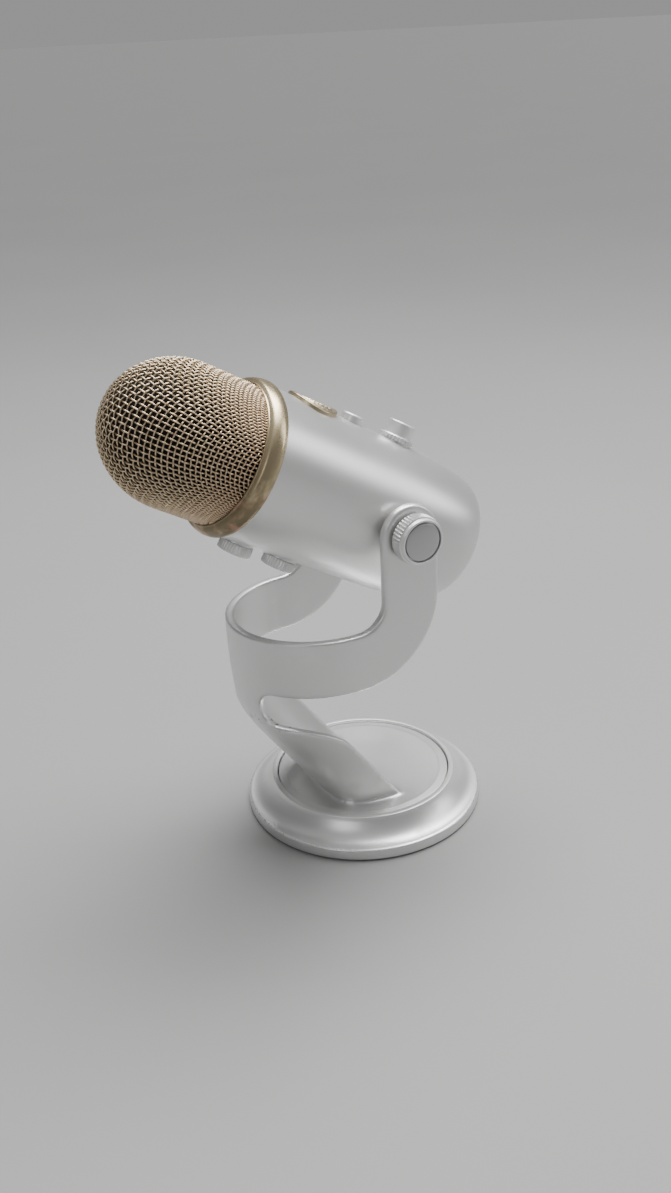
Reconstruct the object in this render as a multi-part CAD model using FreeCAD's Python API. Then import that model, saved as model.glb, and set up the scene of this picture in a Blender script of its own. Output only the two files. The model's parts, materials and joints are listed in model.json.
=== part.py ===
"""Desktop microphone on a U-shaped strap stand, modelled in millimetres.

Row frame: origin at the centre of the base on the surface it stands on, +Z up,
+X towards the open side of the strap, +Y to the far arm.

The microphone itself is drawn upright around its own pivot (local Z along the
microphone, local +X towards its front controls) and is then leaned back by
TILT_DEG about the pivot axis, which is parallel to +Y.
"""
import FreeCAD, Part
import math
import os

Vector = FreeCAD.Vector
X_AXIS = Vector(1, 0, 0)
Y_AXIS = Vector(0, 1, 0)
Z_AXIS = Vector(0, 0, 1)
ORIGIN = Vector(0, 0, 0)

# ---------------------------------------------------------------- base sizes
BASE_RADIUS = 60.0
BASE_UNDERSIDE = 0.8
BASE_EDGE_CHAMFER = 0.7
RIM_HEIGHT = 6.4
RIM_SHOULDER = 0.9
LIP_RADIUS = 47.2
LIP_HEIGHT = 16.5
LIP_ROUND = 1.2
LIP_FOOT_OUT = 0.7
LIP_MIDDLE_OUT = 0.1
LIP_MIDDLE_DROP = 0.35
LIP_INNER_BEVEL = 0.5
RIM_SHOULDER_RISE = 0.36
COVE_MIDDLE_OUT = 4.0
COVE_MIDDLE_RISE = 3.6
DISC_RADIUS = 44.1
DISC_TOP = 15.3
DISC_GAP = 0.5
FLOOR_TOP = 9.3
FLOOR_BOTTOM = 4.5
FLOOR_HOLE_RADIUS = 12.0
RING_FOOT_RADIUS = 50.0
PAD_RADIUS = 56.0
PAD_THICKNESS = 1.6
PAD_GAP = 0.4
BASE_SCREW_RADIUS = 2.0
BASE_SCREW_HEAD_RADIUS = 3.8
BASE_SCREW_HEAD_HEIGHT = 2.2
BASE_SCREW_CIRCLE = 26.0
BASE_SCREW_COUNT = 4
BASE_SCREW_TURN = 45.0
BASE_SCREW_DEPTH = 7.4
HOLE_CLEARANCE = 0.3
DRIVE_SHARE = 0.45
SCREW_CLEARANCE = 0.03
CUT_MARGIN = 1.0

# -------------------------------------------------------- strap (stand) sizes
STRAP_HALF_WIDTH = 41.7
STRAP_REACH = 44.5
STRAP_WALL = 4.5
STRAP_BACK_X = -66.4
STRAP_WIDTH = 29.0
BAND_TOP = 115.5
BEND_INNER_RADIUS = 12.9
BEND_MIDDLE_DEG = -45.0
LEAN_START_Z = 69.0
LEAN_BLEND = 12.0
LEAN_RATE = 0.74
TAPER_START_Z = 80.0
TAPER_RATE = 0.16
SQUARE_AT_BAND = 2.0
SQUARE_AT_ROOT = 4.2
SECTION_STEP = 7.0
SECTION_STEPS = 14
STRAP_ENDS_X = 32.0
NOTCH_END_DEG = 21.0
NOTCH_FACE_DEG = 12.0
NOTCH_DEPTH = 18.0
NOTCH_BOTTOM_Z = 69.0
NOTCH_START_X = -50.9
NOTCH_CURVE_X = -38.0
NOTCH_CURVE_Z = 65.4
STRAP_ROOT_SINK = 3.0
DISC_EDGE_ROUND = 0.4
ROOT_FRONT_X = 3.8
KNEE_X = -27.0
KNEE_Z = 58.0

# -------------------------------------------------------------- pivot sizes
PIVOT_X = 6.5
PIVOT_Z = 158.0
TILT_DEG = 59.0
STUD_RADIUS = 3.95
STUD_HOLE_RADIUS = 4.0
STUD_INNER_Y = 27.0
STUD_OUTER_Y = 49.0
WASHER_RADIUS = 9.0
WASHER_GAP = 0.1
KNOB_INNER_Y = 43.2
KNOB_OUTER_Y = 51.5
KNOB_RADIUS = 11.6
KNOB_RIM_RADIUS = 10.3
KNOB_RIM_FOOT = 10.6
KNOB_RIM_HEIGHT = 1.6
CAP_RADIUS = 9.0
CAP_SEAT_RADIUS = 9.35
CAP_THICKNESS = 2.0
CAP_DOME = 0.5
CAP_DROP = 0.2
WASHER_CLEARANCE = 0.2
INSERT_FACE_Y = 36.3
INSERT_BARREL_RADIUS = 6.4

# --------------------------------------------------- microphone shell sizes
BODY_RADIUS = 35.0
BODY_TOP = 72.3
BODY_ROUND_START = -3.5
BODY_END = -48.5
BODY_END_RADIUS = 28.6
BODY_END_POWER = 2.4
BODY_WALL = 2.4
BODY_REACH = 50.0
BODY_CURVE_STEPS = 12
PLATE_RADIUS = 26.4
PLATE_RECESS = 0.8
PLATE_THICKNESS = 2.6
PART_GAP = 0.1
COLLAR_TOP = 81.5
COLLAR_RADIUS = 36.5
COLLAR_TOP_RADIUS = 33.6
COLLAR_FOOT = 69.0
COLLAR_LEDGE = 74.6
COLLAR_SHOULDER = 2.2
COLLAR_STEP = 0.4
GRILLE_RADIUS = 32.6
GRILLE_WALL = 1.3
DOME_START = 104.0
DOME_HEIGHT = 35.4
LINER_RADIUS = 30.4
LINER_WALL = 0.6
LINER_DOME_HEIGHT = 33.2

# ----------------------------------------------------------- control sizes
VOLUME_S = 0.0
SEAT_RADIUS = 7.5
SEAT_FOOT = 32.8
SEAT_TOP = 35.1
VOLUME_SKIRT_RADIUS = 8.4
VOLUME_CAP_RADIUS = 6.6
VOLUME_FOOT = 35.3
VOLUME_SKIRT_TOP = 37.4
VOLUME_TOP = 44.3
VOLUME_TAPER = 0.3
VOLUME_EDGE_ROUND = 0.9
KNOB_ROOF = 2.0
MUTE_S = 27.0
MUTE_RADIUS = 5.2
MUTE_TOP = 38.6
MUTE_FOOT = 29.6
MUTE_TRAVEL = 1.0
MUTE_GAP = 0.2
MUTE_EDGE_ROUND = 0.9
MUTE_FLANGE = 0.9
MUTE_FLANGE_HEIGHT = 1.2
SWITCH_HALF = 3.0
PLUNGER_RADIUS = 1.6
PLUNGER_HEIGHT = 0.8
LIGHT_RADIUS = 1.1
EMBLEM_S = 49.5
EMBLEM_RADIUS = 12.0
EMBLEM_PROUD = 1.8
GAIN_S = 56.5
PATTERN_S = 32.0
REAR_KNOB_RADIUS = 8.0
REAR_KNOB_FOOT = 35.3
REAR_KNOB_TOP = 40.2
REAR_KNOB_ROOF = 1.5
REAR_KNOB_EDGE_ROUND = 0.5
SHAFT_RADIUS = 2.95
SHAFT_HOLE_RADIUS = 3.0
SHAFT_SHELL_CLEARANCE = 0.5
SHAFT_END_GAP = 0.2
POT_FACE = 27.0
POT_WIDTH = 11.0
POT_DEPTH = 8.4
POT_FLOOR = 2.0
POT_BUSH_RADIUS = 4.4
POT_BUSH_HEIGHT = 2.5

# -------------------------------------------------------- inner part sizes
INSERT_RADIUS = 9.4
THREAD_MINOR_RADIUS = 7.45
INSERT_LENGTH = 14.0
INSERT_PROUD = 0.4
RAIL_Y = 25.0
RAIL_WALL = 2.5
RAIL_WIDTH = 20.0
FOOT_RING_RADIUS = 27.0
FOOT_RING_BORE = 15.4
DECK_RADIUS = 31.0
DECK_BOTTOM = 67.0
DECK_THICKNESS = 3.0
DECK_BORE = 6.0
TOWER_TOP = 98.0
CAPSULE_RADIUS = 7.2
CAPSULE_DEPTH = 5.0
CAPSULE_FACE = 14.0
CAPSULE_Z = 87.0
CAPSULE_COUNT = 3
CAPSULE_PROUD = 1.0
CAPSULE_RIM = 1.2
CAPSULE_FACE_RECESS = 0.6
TOWER_CORE = 5.0
TOWER_STEP = 3.0
BOARD_THICKNESS = 1.6
MAIN_BOARD_X = 10.0
MAIN_BOARD_HALF = 22.0
BOARD_GAP = 0.3
CONTROL_BOARD_X = 17.0
CONTROL_BOARD_HALF = 12.0
FRONT_BOARD_RANGE = (-10.0, 36.0)
REAR_BOARD_RANGE = (22.0, 65.0)
JACK_X = -16.5
JACK_NECK_RADIUS = 3.2
JACK_BORE_RADIUS = 1.8
JACK_BORE_DEPTH = 12.0
JACK_BODY_HALF = 3.4
JACK_BODY_LENGTH = 11.0
JACK_PROUD = 0.3
USB_X = 16.5
USB_WIDTH = 8.2
USB_HEIGHT = 4.6
USB_WALL = 0.6
USB_RECESS = 0.2
USB_LENGTH = 9.0
USB_MOUTH_DEPTH = 7.0
USB_TONGUE_HALF_WIDTH = 2.4
USB_TONGUE_HALF_THICKNESS = 0.5
USB_TONGUE_START = 1.5
SOCKET_ROOM = 2.6
END_SCREW_CIRCLE = 21.5
END_SCREW_COUNT = 3
END_SCREW_TURN = 30.0
END_SCREW_LENGTH = 4.4
SCREW_RADIUS = 1.45
SCREW_HEAD_RADIUS = 2.7
SCREW_HEAD_HEIGHT = 1.6

MIC_PLACEMENT = FreeCAD.Placement(Vector(PIVOT_X, 0, PIVOT_Z), FreeCAD.Rotation(Y_AXIS, -TILT_DEG))
FULL_TURN = 360.0


# ------------------------------------------------------------------ helpers
def save(name, shape):
    """Write one node and say how large it is."""
    shape.exportStep(os.path.join("parts", name + ".step"))
    facts = (name, len(shape.Solids), shape.Volume, shape.isValid())
    print("%-22s solids %d  volume %9.1f  valid %s" % facts)


def save_mic(name, shape):
    """Write a node drawn in the upright microphone frame."""
    placed = shape.copy()
    placed.Placement = MIC_PLACEMENT.multiply(placed.Placement)
    save(name, placed)


def cylinder(radius, start, end, axis=Z_AXIS, centre=ORIGIN):
    """A cylinder along axis from start to end, measured from centre."""
    return Part.makeCylinder(radius, end - start, centre + axis * start, axis)


def tube(outer, inner, start, end, axis=Z_AXIS, centre=ORIGIN):
    """A straight tube along axis from start to end."""
    hole = cylinder(inner, start - CUT_MARGIN, end + CUT_MARGIN, axis, centre)
    return cylinder(outer, start, end, axis, centre).cut(hole)


def through(radius, start, end, centre):
    """A drill along Z that runs past both faces of a plate."""
    return cylinder(radius, start - CUT_MARGIN, end + CUT_MARGIN, Z_AXIS, centre)


def around(radius, count, first_turn):
    """Evenly spaced points on a circle about Z."""
    turns = [math.radians(first_turn + FULL_TURN / count * i) for i in range(count)]
    return [Vector(radius * math.cos(turn), radius * math.sin(turn), 0) for turn in turns]


def rounded_top(shape, height, radius):
    """A turned piece with the edge round its upper face rounded."""
    top = [edge for edge in shape.Edges if edge.BoundBox.ZMin > height - radius * 0.01]
    return shape.makeFillet(radius, top[:1])


def block(x_range, y_range, z_range):
    """A box between the given limits."""
    size = [high - low for low, high in (x_range, y_range, z_range)]
    return Part.makeBox(size[0], size[1], size[2], Vector(x_range[0], y_range[0], z_range[0]))


def revolved(edges):
    """The solid that a closed outline in the XZ plane sweeps about Z."""
    face = Part.Face(Part.Wire(edges))
    return face.revolve(ORIGIN, Z_AXIS, FULL_TURN)


def line(start, end):
    """One straight edge between two (x, z) points."""
    return Part.LineSegment(Vector(start[0], 0, start[1]), Vector(end[0], 0, end[1])).toShape()


def arc(start, middle, end):
    """One arc edge through three (x, z) points."""
    points = [Vector(p[0], 0, p[1]) for p in (start, middle, end)]
    return Part.Arc(points[0], points[1], points[2]).toShape()


def on_circle(centre, radius, degrees):
    """The (x, z) point of a circle at an angle from +X."""
    angle = math.radians(degrees)
    return (centre[0] + radius * math.cos(angle), centre[1] + radius * math.sin(angle))


def screw(radius, head_radius, head_height, length):
    """A pan-head screw along -Z, with the seat of its head at the origin."""
    head = cylinder(head_radius, 0.0, head_height)
    drive = cylinder(head_radius * DRIVE_SHARE, head_height * DRIVE_SHARE, head_height + CUT_MARGIN)
    shank = cylinder(radius, -length, 0.0)
    return head.cut(drive).fuse(shank)


# --------------------------------------------------------------------- base
def base_ring():
    """Heavy round casting with a coved top, a lip, and a floor for the disc."""
    inner = DISC_RADIUS + DISC_GAP
    shoulder = (BASE_RADIUS - RIM_SHOULDER, RIM_HEIGHT + RIM_SHOULDER_RISE)
    lip_foot = (LIP_RADIUS + LIP_FOOT_OUT, LIP_HEIGHT - LIP_ROUND)
    cove_middle = (LIP_RADIUS + COVE_MIDDLE_OUT, RIM_HEIGHT + COVE_MIDDLE_RISE)
    lip_top = (LIP_RADIUS - LIP_ROUND, LIP_HEIGHT)
    lip_middle = (LIP_RADIUS + LIP_MIDDLE_OUT, LIP_HEIGHT - LIP_MIDDLE_DROP)
    edge_foot = (BASE_RADIUS - BASE_EDGE_CHAMFER, BASE_UNDERSIDE)
    edges = [
        line((FLOOR_HOLE_RADIUS, FLOOR_BOTTOM), (FLOOR_HOLE_RADIUS, FLOOR_TOP)),
        line((FLOOR_HOLE_RADIUS, FLOOR_TOP), (inner, FLOOR_TOP)),
        line((inner, FLOOR_TOP), (inner, LIP_HEIGHT - LIP_INNER_BEVEL)),
        line((inner, LIP_HEIGHT - LIP_INNER_BEVEL), lip_top),
        arc(lip_top, lip_middle, lip_foot),
        arc(lip_foot, cove_middle, shoulder),
        line(shoulder, (BASE_RADIUS, RIM_HEIGHT)),
        line((BASE_RADIUS, RIM_HEIGHT), (BASE_RADIUS, BASE_UNDERSIDE + BASE_EDGE_CHAMFER)),
        line((BASE_RADIUS, BASE_UNDERSIDE + BASE_EDGE_CHAMFER), edge_foot),
        line(edge_foot, (PAD_RADIUS + PAD_GAP, BASE_UNDERSIDE)),
        line((PAD_RADIUS + PAD_GAP, BASE_UNDERSIDE), (PAD_RADIUS + PAD_GAP, PAD_THICKNESS)),
        line((PAD_RADIUS + PAD_GAP, PAD_THICKNESS), (RING_FOOT_RADIUS, PAD_THICKNESS)),
        line((RING_FOOT_RADIUS, PAD_THICKNESS), (RING_FOOT_RADIUS, FLOOR_BOTTOM)),
        line((RING_FOOT_RADIUS, FLOOR_BOTTOM), (FLOOR_HOLE_RADIUS, FLOOR_BOTTOM)),
    ]
    ring = revolved(edges)
    for centre in base_screw_centres():
        ring = ring.cut(through(BASE_SCREW_RADIUS + HOLE_CLEARANCE, FLOOR_BOTTOM, FLOOR_TOP, centre))
    return ring


def base_screw_centres():
    """The places of the screws that hold the disc down onto the ring."""
    return around(BASE_SCREW_CIRCLE, BASE_SCREW_COUNT, BASE_SCREW_TURN)


def base_screws():
    """The four screws under the base, heads down."""
    screws = []
    for centre in base_screw_centres():
        one = screw(BASE_SCREW_RADIUS, BASE_SCREW_HEAD_RADIUS, BASE_SCREW_HEAD_HEIGHT, BASE_SCREW_DEPTH)
        one.rotate(ORIGIN, X_AXIS, 180.0)
        one.translate(centre + Vector(0, 0, FLOOR_BOTTOM))
        screws.append(one)
    return Part.makeCompound(screws)


def foot_pad():
    """Soft disc under the whole base."""
    return cylinder(PAD_RADIUS, 0.0, PAD_THICKNESS)


# -------------------------------------------------------------------- strap
def ramp(z, start):
    """How far below start a height is, easing to zero at the top of the band."""
    if z >= BAND_TOP:
        return 0.0
    below = start - z
    rest = start - BAND_TOP
    return 0.5 * (below + math.hypot(below, LEAN_BLEND) - rest - math.hypot(rest, LEAN_BLEND))


def strap_plan(z, inset):
    """Closed end, arc centre, half width and squareness of the wall at a height."""
    lean = LEAN_RATE * ramp(z, LEAN_START_Z)
    below = LEAN_START_Z - z
    slope = 0.5 * LEAN_RATE * (1.0 + below / math.hypot(below, LEAN_BLEND))
    back = STRAP_BACK_X + lean + inset * math.hypot(1.0, slope)
    centre = STRAP_BACK_X + lean + STRAP_REACH
    half_width = STRAP_HALF_WIDTH - TAPER_RATE * ramp(z, TAPER_START_Z) - inset
    down = max(0.0, TAPER_START_Z - z) / (TAPER_START_Z - DISC_TOP)
    square = SQUARE_AT_BAND + (SQUARE_AT_ROOT - SQUARE_AT_BAND) * min(down, 1.0)
    return back, centre, half_width, square


def strap_section(z, inset):
    """The U-shaped wall outline at a height, closed across its open side."""
    back, centre, half_width, square = strap_plan(z, inset)
    points = []
    for i in range(-SECTION_STEPS, SECTION_STEPS + 1):
        angle = 0.5 * math.pi * i / SECTION_STEPS
        across = math.copysign(abs(math.sin(angle)) ** (2.0 / square), angle)
        along = math.cos(angle) ** (2.0 / square) if abs(i) < SECTION_STEPS else 0.0
        points.append(Vector(centre - (centre - back) * along, half_width * across, z))
    near = Vector(STRAP_ENDS_X, -half_width, z)
    far = Vector(STRAP_ENDS_X, half_width, z)
    curve = Part.BSplineCurve()
    curve.interpolate(Points=points, InitialTangent=X_AXIS * -1.0, FinalTangent=X_AXIS)
    near_arm = Part.LineSegment(near, points[0]).toShape()
    far_arm = Part.LineSegment(points[-1], far).toShape()
    mouth = Part.LineSegment(far, near).toShape()
    return Part.Wire([near_arm, curve.toShape(), far_arm, mouth])


def strap_block(inset):
    """The solid inside the wall outline, from the disc to above the pivot."""
    count = round((BAND_TOP - FLOOR_TOP) / SECTION_STEP)
    step = (BAND_TOP - FLOOR_TOP) / count
    sections = [strap_section(FLOOR_TOP + step * i, inset) for i in range(count + 1)]
    stem = Part.makeLoft(sections, True, False)
    arms = Part.Face(sections[-1]).extrude(Z_AXIS * (PIVOT_Z + STRAP_WIDTH - BAND_TOP))
    return stem.fuse(arms)


def strap_profile():
    """The strap's outline seen along Y, extruded across the whole width."""
    half = 0.5 * STRAP_WIDTH
    front = PIVOT_X + half
    rear = PIVOT_X - half
    bend = (rear - BEND_INNER_RADIUS, BAND_TOP + BEND_INNER_RADIUS)
    outer = BEND_INNER_RADIUS + STRAP_WIDTH
    band_bottom = BAND_TOP - STRAP_WIDTH
    far_back = STRAP_BACK_X - STRAP_WALL
    root_z = DISC_TOP - STRAP_ROOT_SINK
    slope = (KNEE_Z - DISC_TOP) / (KNEE_X - ROOT_FRONT_X)
    root_x = ROOT_FRONT_X + (root_z - DISC_TOP) / slope
    edges = [
        arc((front, PIVOT_Z), (PIVOT_X, PIVOT_Z + half), (rear, PIVOT_Z)),
        line((rear, PIVOT_Z), (rear, bend[1])),
        arc((rear, bend[1]), on_circle(bend, BEND_INNER_RADIUS, BEND_MIDDLE_DEG), (bend[0], BAND_TOP)),
        line((bend[0], BAND_TOP), (far_back, BAND_TOP)),
        line((far_back, BAND_TOP), (far_back, root_z)),
        line((far_back, root_z), (root_x, root_z)),
        line((root_x, root_z), (KNEE_X, KNEE_Z)),
        arc((KNEE_X, KNEE_Z), (NOTCH_CURVE_X, NOTCH_CURVE_Z), (NOTCH_START_X, NOTCH_BOTTOM_Z)),
        line((NOTCH_START_X, NOTCH_BOTTOM_Z), (NOTCH_START_X, band_bottom)),
        line((NOTCH_START_X, band_bottom), (bend[0], band_bottom)),
        arc((bend[0], band_bottom), on_circle(bend, outer, BEND_MIDDLE_DEG), (front, bend[1])),
        line((front, bend[1]), (front, PIVOT_Z)),
    ]
    face = Part.Face(Part.Wire(edges))
    slab = face.extrude(Vector(0, 3.0 * STRAP_HALF_WIDTH, 0))
    slab.translate(Vector(0, -1.5 * STRAP_HALF_WIDTH, 0))
    return slab


def notch_end():
    """The round end of the notch on the far side, cut square to the wall."""
    radius = 0.5 * (BAND_TOP - STRAP_WIDTH - NOTCH_BOTTOM_Z)
    turn = math.radians(NOTCH_END_DEG + NOTCH_FACE_DEG)
    outward = Vector(-math.cos(turn), math.sin(turn), 0)
    along = Vector(math.sin(turn), math.cos(turn), 0)
    end_turn = math.radians(NOTCH_END_DEG)
    centre_x = STRAP_BACK_X + STRAP_REACH
    tip_x = centre_x - STRAP_REACH * math.cos(end_turn)
    tip = Vector(tip_x, STRAP_HALF_WIDTH * math.sin(end_turn), NOTCH_BOTTOM_Z + radius)
    centre = tip + along * radius
    start = centre - outward * NOTCH_DEPTH
    end = Part.makeCylinder(radius, 2.0 * NOTCH_DEPTH, start, outward)
    run = Part.makeBox(NOTCH_DEPTH, 2.0 * NOTCH_DEPTH, 2.0 * radius)
    turned = FreeCAD.Rotation(along, outward, Z_AXIS, "ZXY")
    run.Placement = FreeCAD.Placement(start - Z_AXIS * radius, turned)
    return end.fuse(run)


def stand_strap():
    """Disc, stem, band and both arms as one casting."""
    wall = strap_block(0.0).cut(strap_block(STRAP_WALL))
    strap = wall.common(strap_profile())
    far_end = notch_end()
    for end in (far_end, far_end.mirror(ORIGIN, Y_AXIS)):
        strap = strap.cut(end)
    bore = cylinder(STUD_HOLE_RADIUS, -STUD_OUTER_Y, STUD_OUTER_Y, Y_AXIS, Vector(PIVOT_X, 0, PIVOT_Z))
    return strap.cut(bore)


def stand_disc():
    """The flat disc at the foot of the stem, drilled for its screws."""
    disc = cylinder(DISC_RADIUS, FLOOR_TOP, DISC_TOP)
    disc = rounded_top(disc, DISC_TOP, DISC_EDGE_ROUND)
    depth = FLOOR_BOTTOM + BASE_SCREW_DEPTH
    for centre in base_screw_centres():
        hole = cylinder(BASE_SCREW_RADIUS + SCREW_CLEARANCE, FLOOR_TOP - CUT_MARGIN, depth, Z_AXIS, centre)
        disc = disc.cut(hole)
    return disc


def yoke_stand():
    """The whole stand casting."""
    return stand_disc().fuse(stand_strap())


# -------------------------------------------------------------- pivot parts
def pivot_place(side):
    """The placement that turns +Z outwards along the pivot on one side."""
    turned = FreeCAD.Rotation(Z_AXIS, Y_AXIS * side)
    return FreeCAD.Placement(Vector(PIVOT_X, 0, PIVOT_Z), turned)


def on_pivot(shape, side):
    """A shape drawn along +Z, turned onto the pivot on one side."""
    placed = shape.copy()
    placed.Placement = pivot_place(side).multiply(placed.Placement)
    return placed


def pivot_knob():
    """Clamp knob: a ribbed drum with a smooth rim and a seat for its cap."""
    rim_start = KNOB_OUTER_Y - KNOB_RIM_HEIGHT
    drum = cylinder(KNOB_RADIUS, KNOB_INNER_Y, rim_start)
    rim = Part.makeCone(KNOB_RIM_FOOT, KNOB_RIM_RADIUS, KNOB_RIM_HEIGHT, Z_AXIS * rim_start)
    seat = cylinder(CAP_SEAT_RADIUS, KNOB_OUTER_Y - CAP_THICKNESS, KNOB_OUTER_Y + CUT_MARGIN)
    bore = cylinder(STUD_RADIUS, KNOB_INNER_Y - CUT_MARGIN, KNOB_OUTER_Y)
    return drum.fuse(rim).cut(seat).cut(bore)


def pivot_cap():
    """Slightly domed cap pressed into the knob."""
    top = KNOB_OUTER_Y + CAP_DOME - CAP_DROP
    drum = cylinder(CAP_RADIUS, KNOB_OUTER_Y - CAP_THICKNESS, top)
    dome_radius = (CAP_RADIUS ** 2 + CAP_DOME ** 2) / (2.0 * CAP_DOME)
    return drum.common(Part.makeSphere(dome_radius, Z_AXIS * (top - dome_radius)))


def make_pivot_parts():
    """Stud, knob, cap, spacers and threaded insert on each side."""
    washer_bore = STUD_HOLE_RADIUS + WASHER_CLEARANCE
    knob_washer = tube(WASHER_RADIUS, washer_bore, STRAP_HALF_WIDTH, KNOB_INNER_Y - WASHER_GAP)
    arm_inner = STRAP_HALF_WIDTH - STRAP_WALL
    friction_washer = tube(WASHER_RADIUS, washer_bore, INSERT_FACE_Y, arm_inner - WASHER_GAP)
    stud = cylinder(STUD_RADIUS, STUD_INNER_Y, STUD_OUTER_Y)
    barrel = tube(INSERT_BARREL_RADIUS, STUD_HOLE_RADIUS, RAIL_Y - RAIL_WALL, INSERT_FACE_Y)
    flange = tube(WASHER_RADIUS, STUD_HOLE_RADIUS, BODY_RADIUS, INSERT_FACE_Y)
    for word, side in (("near", -1.0), ("far", 1.0)):
        save("pivot_knob_" + word, on_pivot(pivot_knob(), side))
        save("pivot_cap_" + word, on_pivot(pivot_cap(), side))
        save("pivot_stud_" + word, on_pivot(stud, side))
        save("knob_washer_" + word, on_pivot(knob_washer, side))
        save("friction_washer_" + word, on_pivot(friction_washer, side))
        save("pivot_insert_" + word, on_pivot(barrel.fuse(flange), side))


# --------------------------------------------------------- microphone shell
def body_curve(inset):
    """Points (r, z) of the shell's rounded lower end, offset inwards."""
    points = []
    drop = BODY_ROUND_START - BODY_END - inset
    for i in range(BODY_CURVE_STEPS + 1):
        share = math.sin(0.5 * math.pi * i / BODY_CURVE_STEPS)
        bulge = (1.0 - share ** BODY_END_POWER) ** (1.0 / BODY_END_POWER) if i < BODY_CURVE_STEPS else 0.0
        radius = BODY_END_RADIUS + (BODY_RADIUS - BODY_END_RADIUS) * bulge - inset
        points.append(Vector(radius, 0, BODY_ROUND_START - drop * share))
    return points


def body_solid(inset, top):
    """The solid of revolution inside the shell at a given inset."""
    points = body_curve(inset)
    curve = Part.BSplineCurve()
    curve.interpolate(Points=points, InitialTangent=Z_AXIS * -1.0, FinalTangent=X_AXIS * -1.0)
    start = (points[0].x, points[0].z)
    end = (points[-1].x, points[-1].z)
    edges = [
        line((0.0, top), (start[0], top)),
        line((start[0], top), start),
        curve.toShape(),
        line(end, (0.0, end[1])),
        line((0.0, end[1]), (0.0, top)),
    ]
    return revolved(edges)


def body_shell():
    """The painted metal housing, open at both ends, with a low seat under each knob."""
    shell = body_solid(0.0, BODY_TOP).cut(body_solid(BODY_WALL, BODY_TOP + CUT_MARGIN))
    shell = shell.fuse(cylinder(SEAT_RADIUS, SEAT_FOOT, SEAT_TOP, X_AXIS, Z_AXIS * VOLUME_S))
    for height in (GAIN_S, PATTERN_S):
        shell = shell.fuse(cylinder(SEAT_RADIUS, -SEAT_TOP, -SEAT_FOOT, X_AXIS, Z_AXIS * height))
    shell = shell.cut(cylinder(PLATE_RADIUS + PART_GAP, BODY_END - CUT_MARGIN, BODY_END + 2.0 * BODY_WALL))
    shell = shell.cut(cylinder(INSERT_BARREL_RADIUS + WASHER_CLEARANCE, -BODY_REACH, BODY_REACH, Y_AXIS))
    shell = shell.cut(cylinder(MUTE_RADIUS + HOLE_CLEARANCE, 0.0, BODY_REACH, X_AXIS, Z_AXIS * MUTE_S))
    shaft_hole = SHAFT_RADIUS + SHAFT_SHELL_CLEARANCE
    shell = shell.cut(cylinder(shaft_hole, 0.0, BODY_REACH, X_AXIS, Z_AXIS * VOLUME_S))
    for height in (GAIN_S, PATTERN_S):
        shell = shell.cut(cylinder(shaft_hole, -BODY_REACH, 0.0, X_AXIS, Z_AXIS * height))
    return shell


def end_plate():
    """Recessed plate across the lower end, with its sockets and thread."""
    start = BODY_END + PLATE_RECESS
    end = start + PLATE_THICKNESS
    plate = cylinder(PLATE_RADIUS, start, end)
    plate = plate.cut(through(INSERT_RADIUS, start, end, ORIGIN))
    plate = plate.cut(through(JACK_NECK_RADIUS, start, end, X_AXIS * JACK_X))
    window = block(
        (USB_X - 0.5 * USB_HEIGHT, USB_X + 0.5 * USB_HEIGHT),
        (-0.5 * USB_WIDTH, 0.5 * USB_WIDTH),
        (start - CUT_MARGIN, end + CUT_MARGIN),
    )
    plate = plate.cut(window)
    for centre in end_screw_centres():
        plate = plate.cut(through(SCREW_RADIUS + HOLE_CLEARANCE, start, end, centre))
    return plate


def end_screw_centres():
    """The places of the screws in the end plate."""
    return around(END_SCREW_CIRCLE, END_SCREW_COUNT, END_SCREW_TURN)


def end_screws():
    """The three screws that hold the end plate to the chassis."""
    screws = []
    for centre in end_screw_centres():
        one = screw(SCREW_RADIUS, SCREW_HEAD_RADIUS, SCREW_HEAD_HEIGHT, END_SCREW_LENGTH)
        one.rotate(ORIGIN, X_AXIS, 180.0)
        one.translate(centre + Z_AXIS * (BODY_END + PLATE_RECESS))
        screws.append(one)
    return Part.makeCompound(screws)


def thread_insert():
    """Threaded bush for a boom arm or shock mount, drawn at its minor radius."""
    start = BODY_END + PLATE_RECESS - INSERT_PROUD
    return tube(INSERT_RADIUS, THREAD_MINOR_RADIUS, start, start + INSERT_LENGTH)


def collar_ring():
    """Plated collar between the shell and the grille."""
    foot = BODY_TOP + PART_GAP
    crown = 0.5 * (foot + COLLAR_TOP)
    mouth = GRILLE_RADIUS + PART_GAP
    socket = BODY_RADIUS - BODY_WALL - PART_GAP
    deck = DECK_RADIUS + PART_GAP
    step = BODY_RADIUS + COLLAR_STEP
    upper = (COLLAR_RADIUS - COLLAR_STEP, crown + COLLAR_SHOULDER)
    lower = (COLLAR_RADIUS - 0.5 * COLLAR_STEP, crown - COLLAR_SHOULDER)
    edges = [
        line((mouth, COLLAR_LEDGE), (mouth, COLLAR_TOP)),
        line((mouth, COLLAR_TOP), (COLLAR_TOP_RADIUS, COLLAR_TOP)),
        arc((COLLAR_TOP_RADIUS, COLLAR_TOP), upper, (COLLAR_RADIUS, crown)),
        arc((COLLAR_RADIUS, crown), lower, (step, foot + COLLAR_STEP)),
        line((step, foot + COLLAR_STEP), (step, foot)),
        line((step, foot), (socket, foot)),
        line((socket, foot), (socket, COLLAR_FOOT)),
        line((socket, COLLAR_FOOT), (deck, COLLAR_FOOT)),
        line((deck, COLLAR_FOOT), (deck, COLLAR_LEDGE)),
        line((deck, COLLAR_LEDGE), (mouth, COLLAR_LEDGE)),
    ]
    return revolved(edges)


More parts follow.
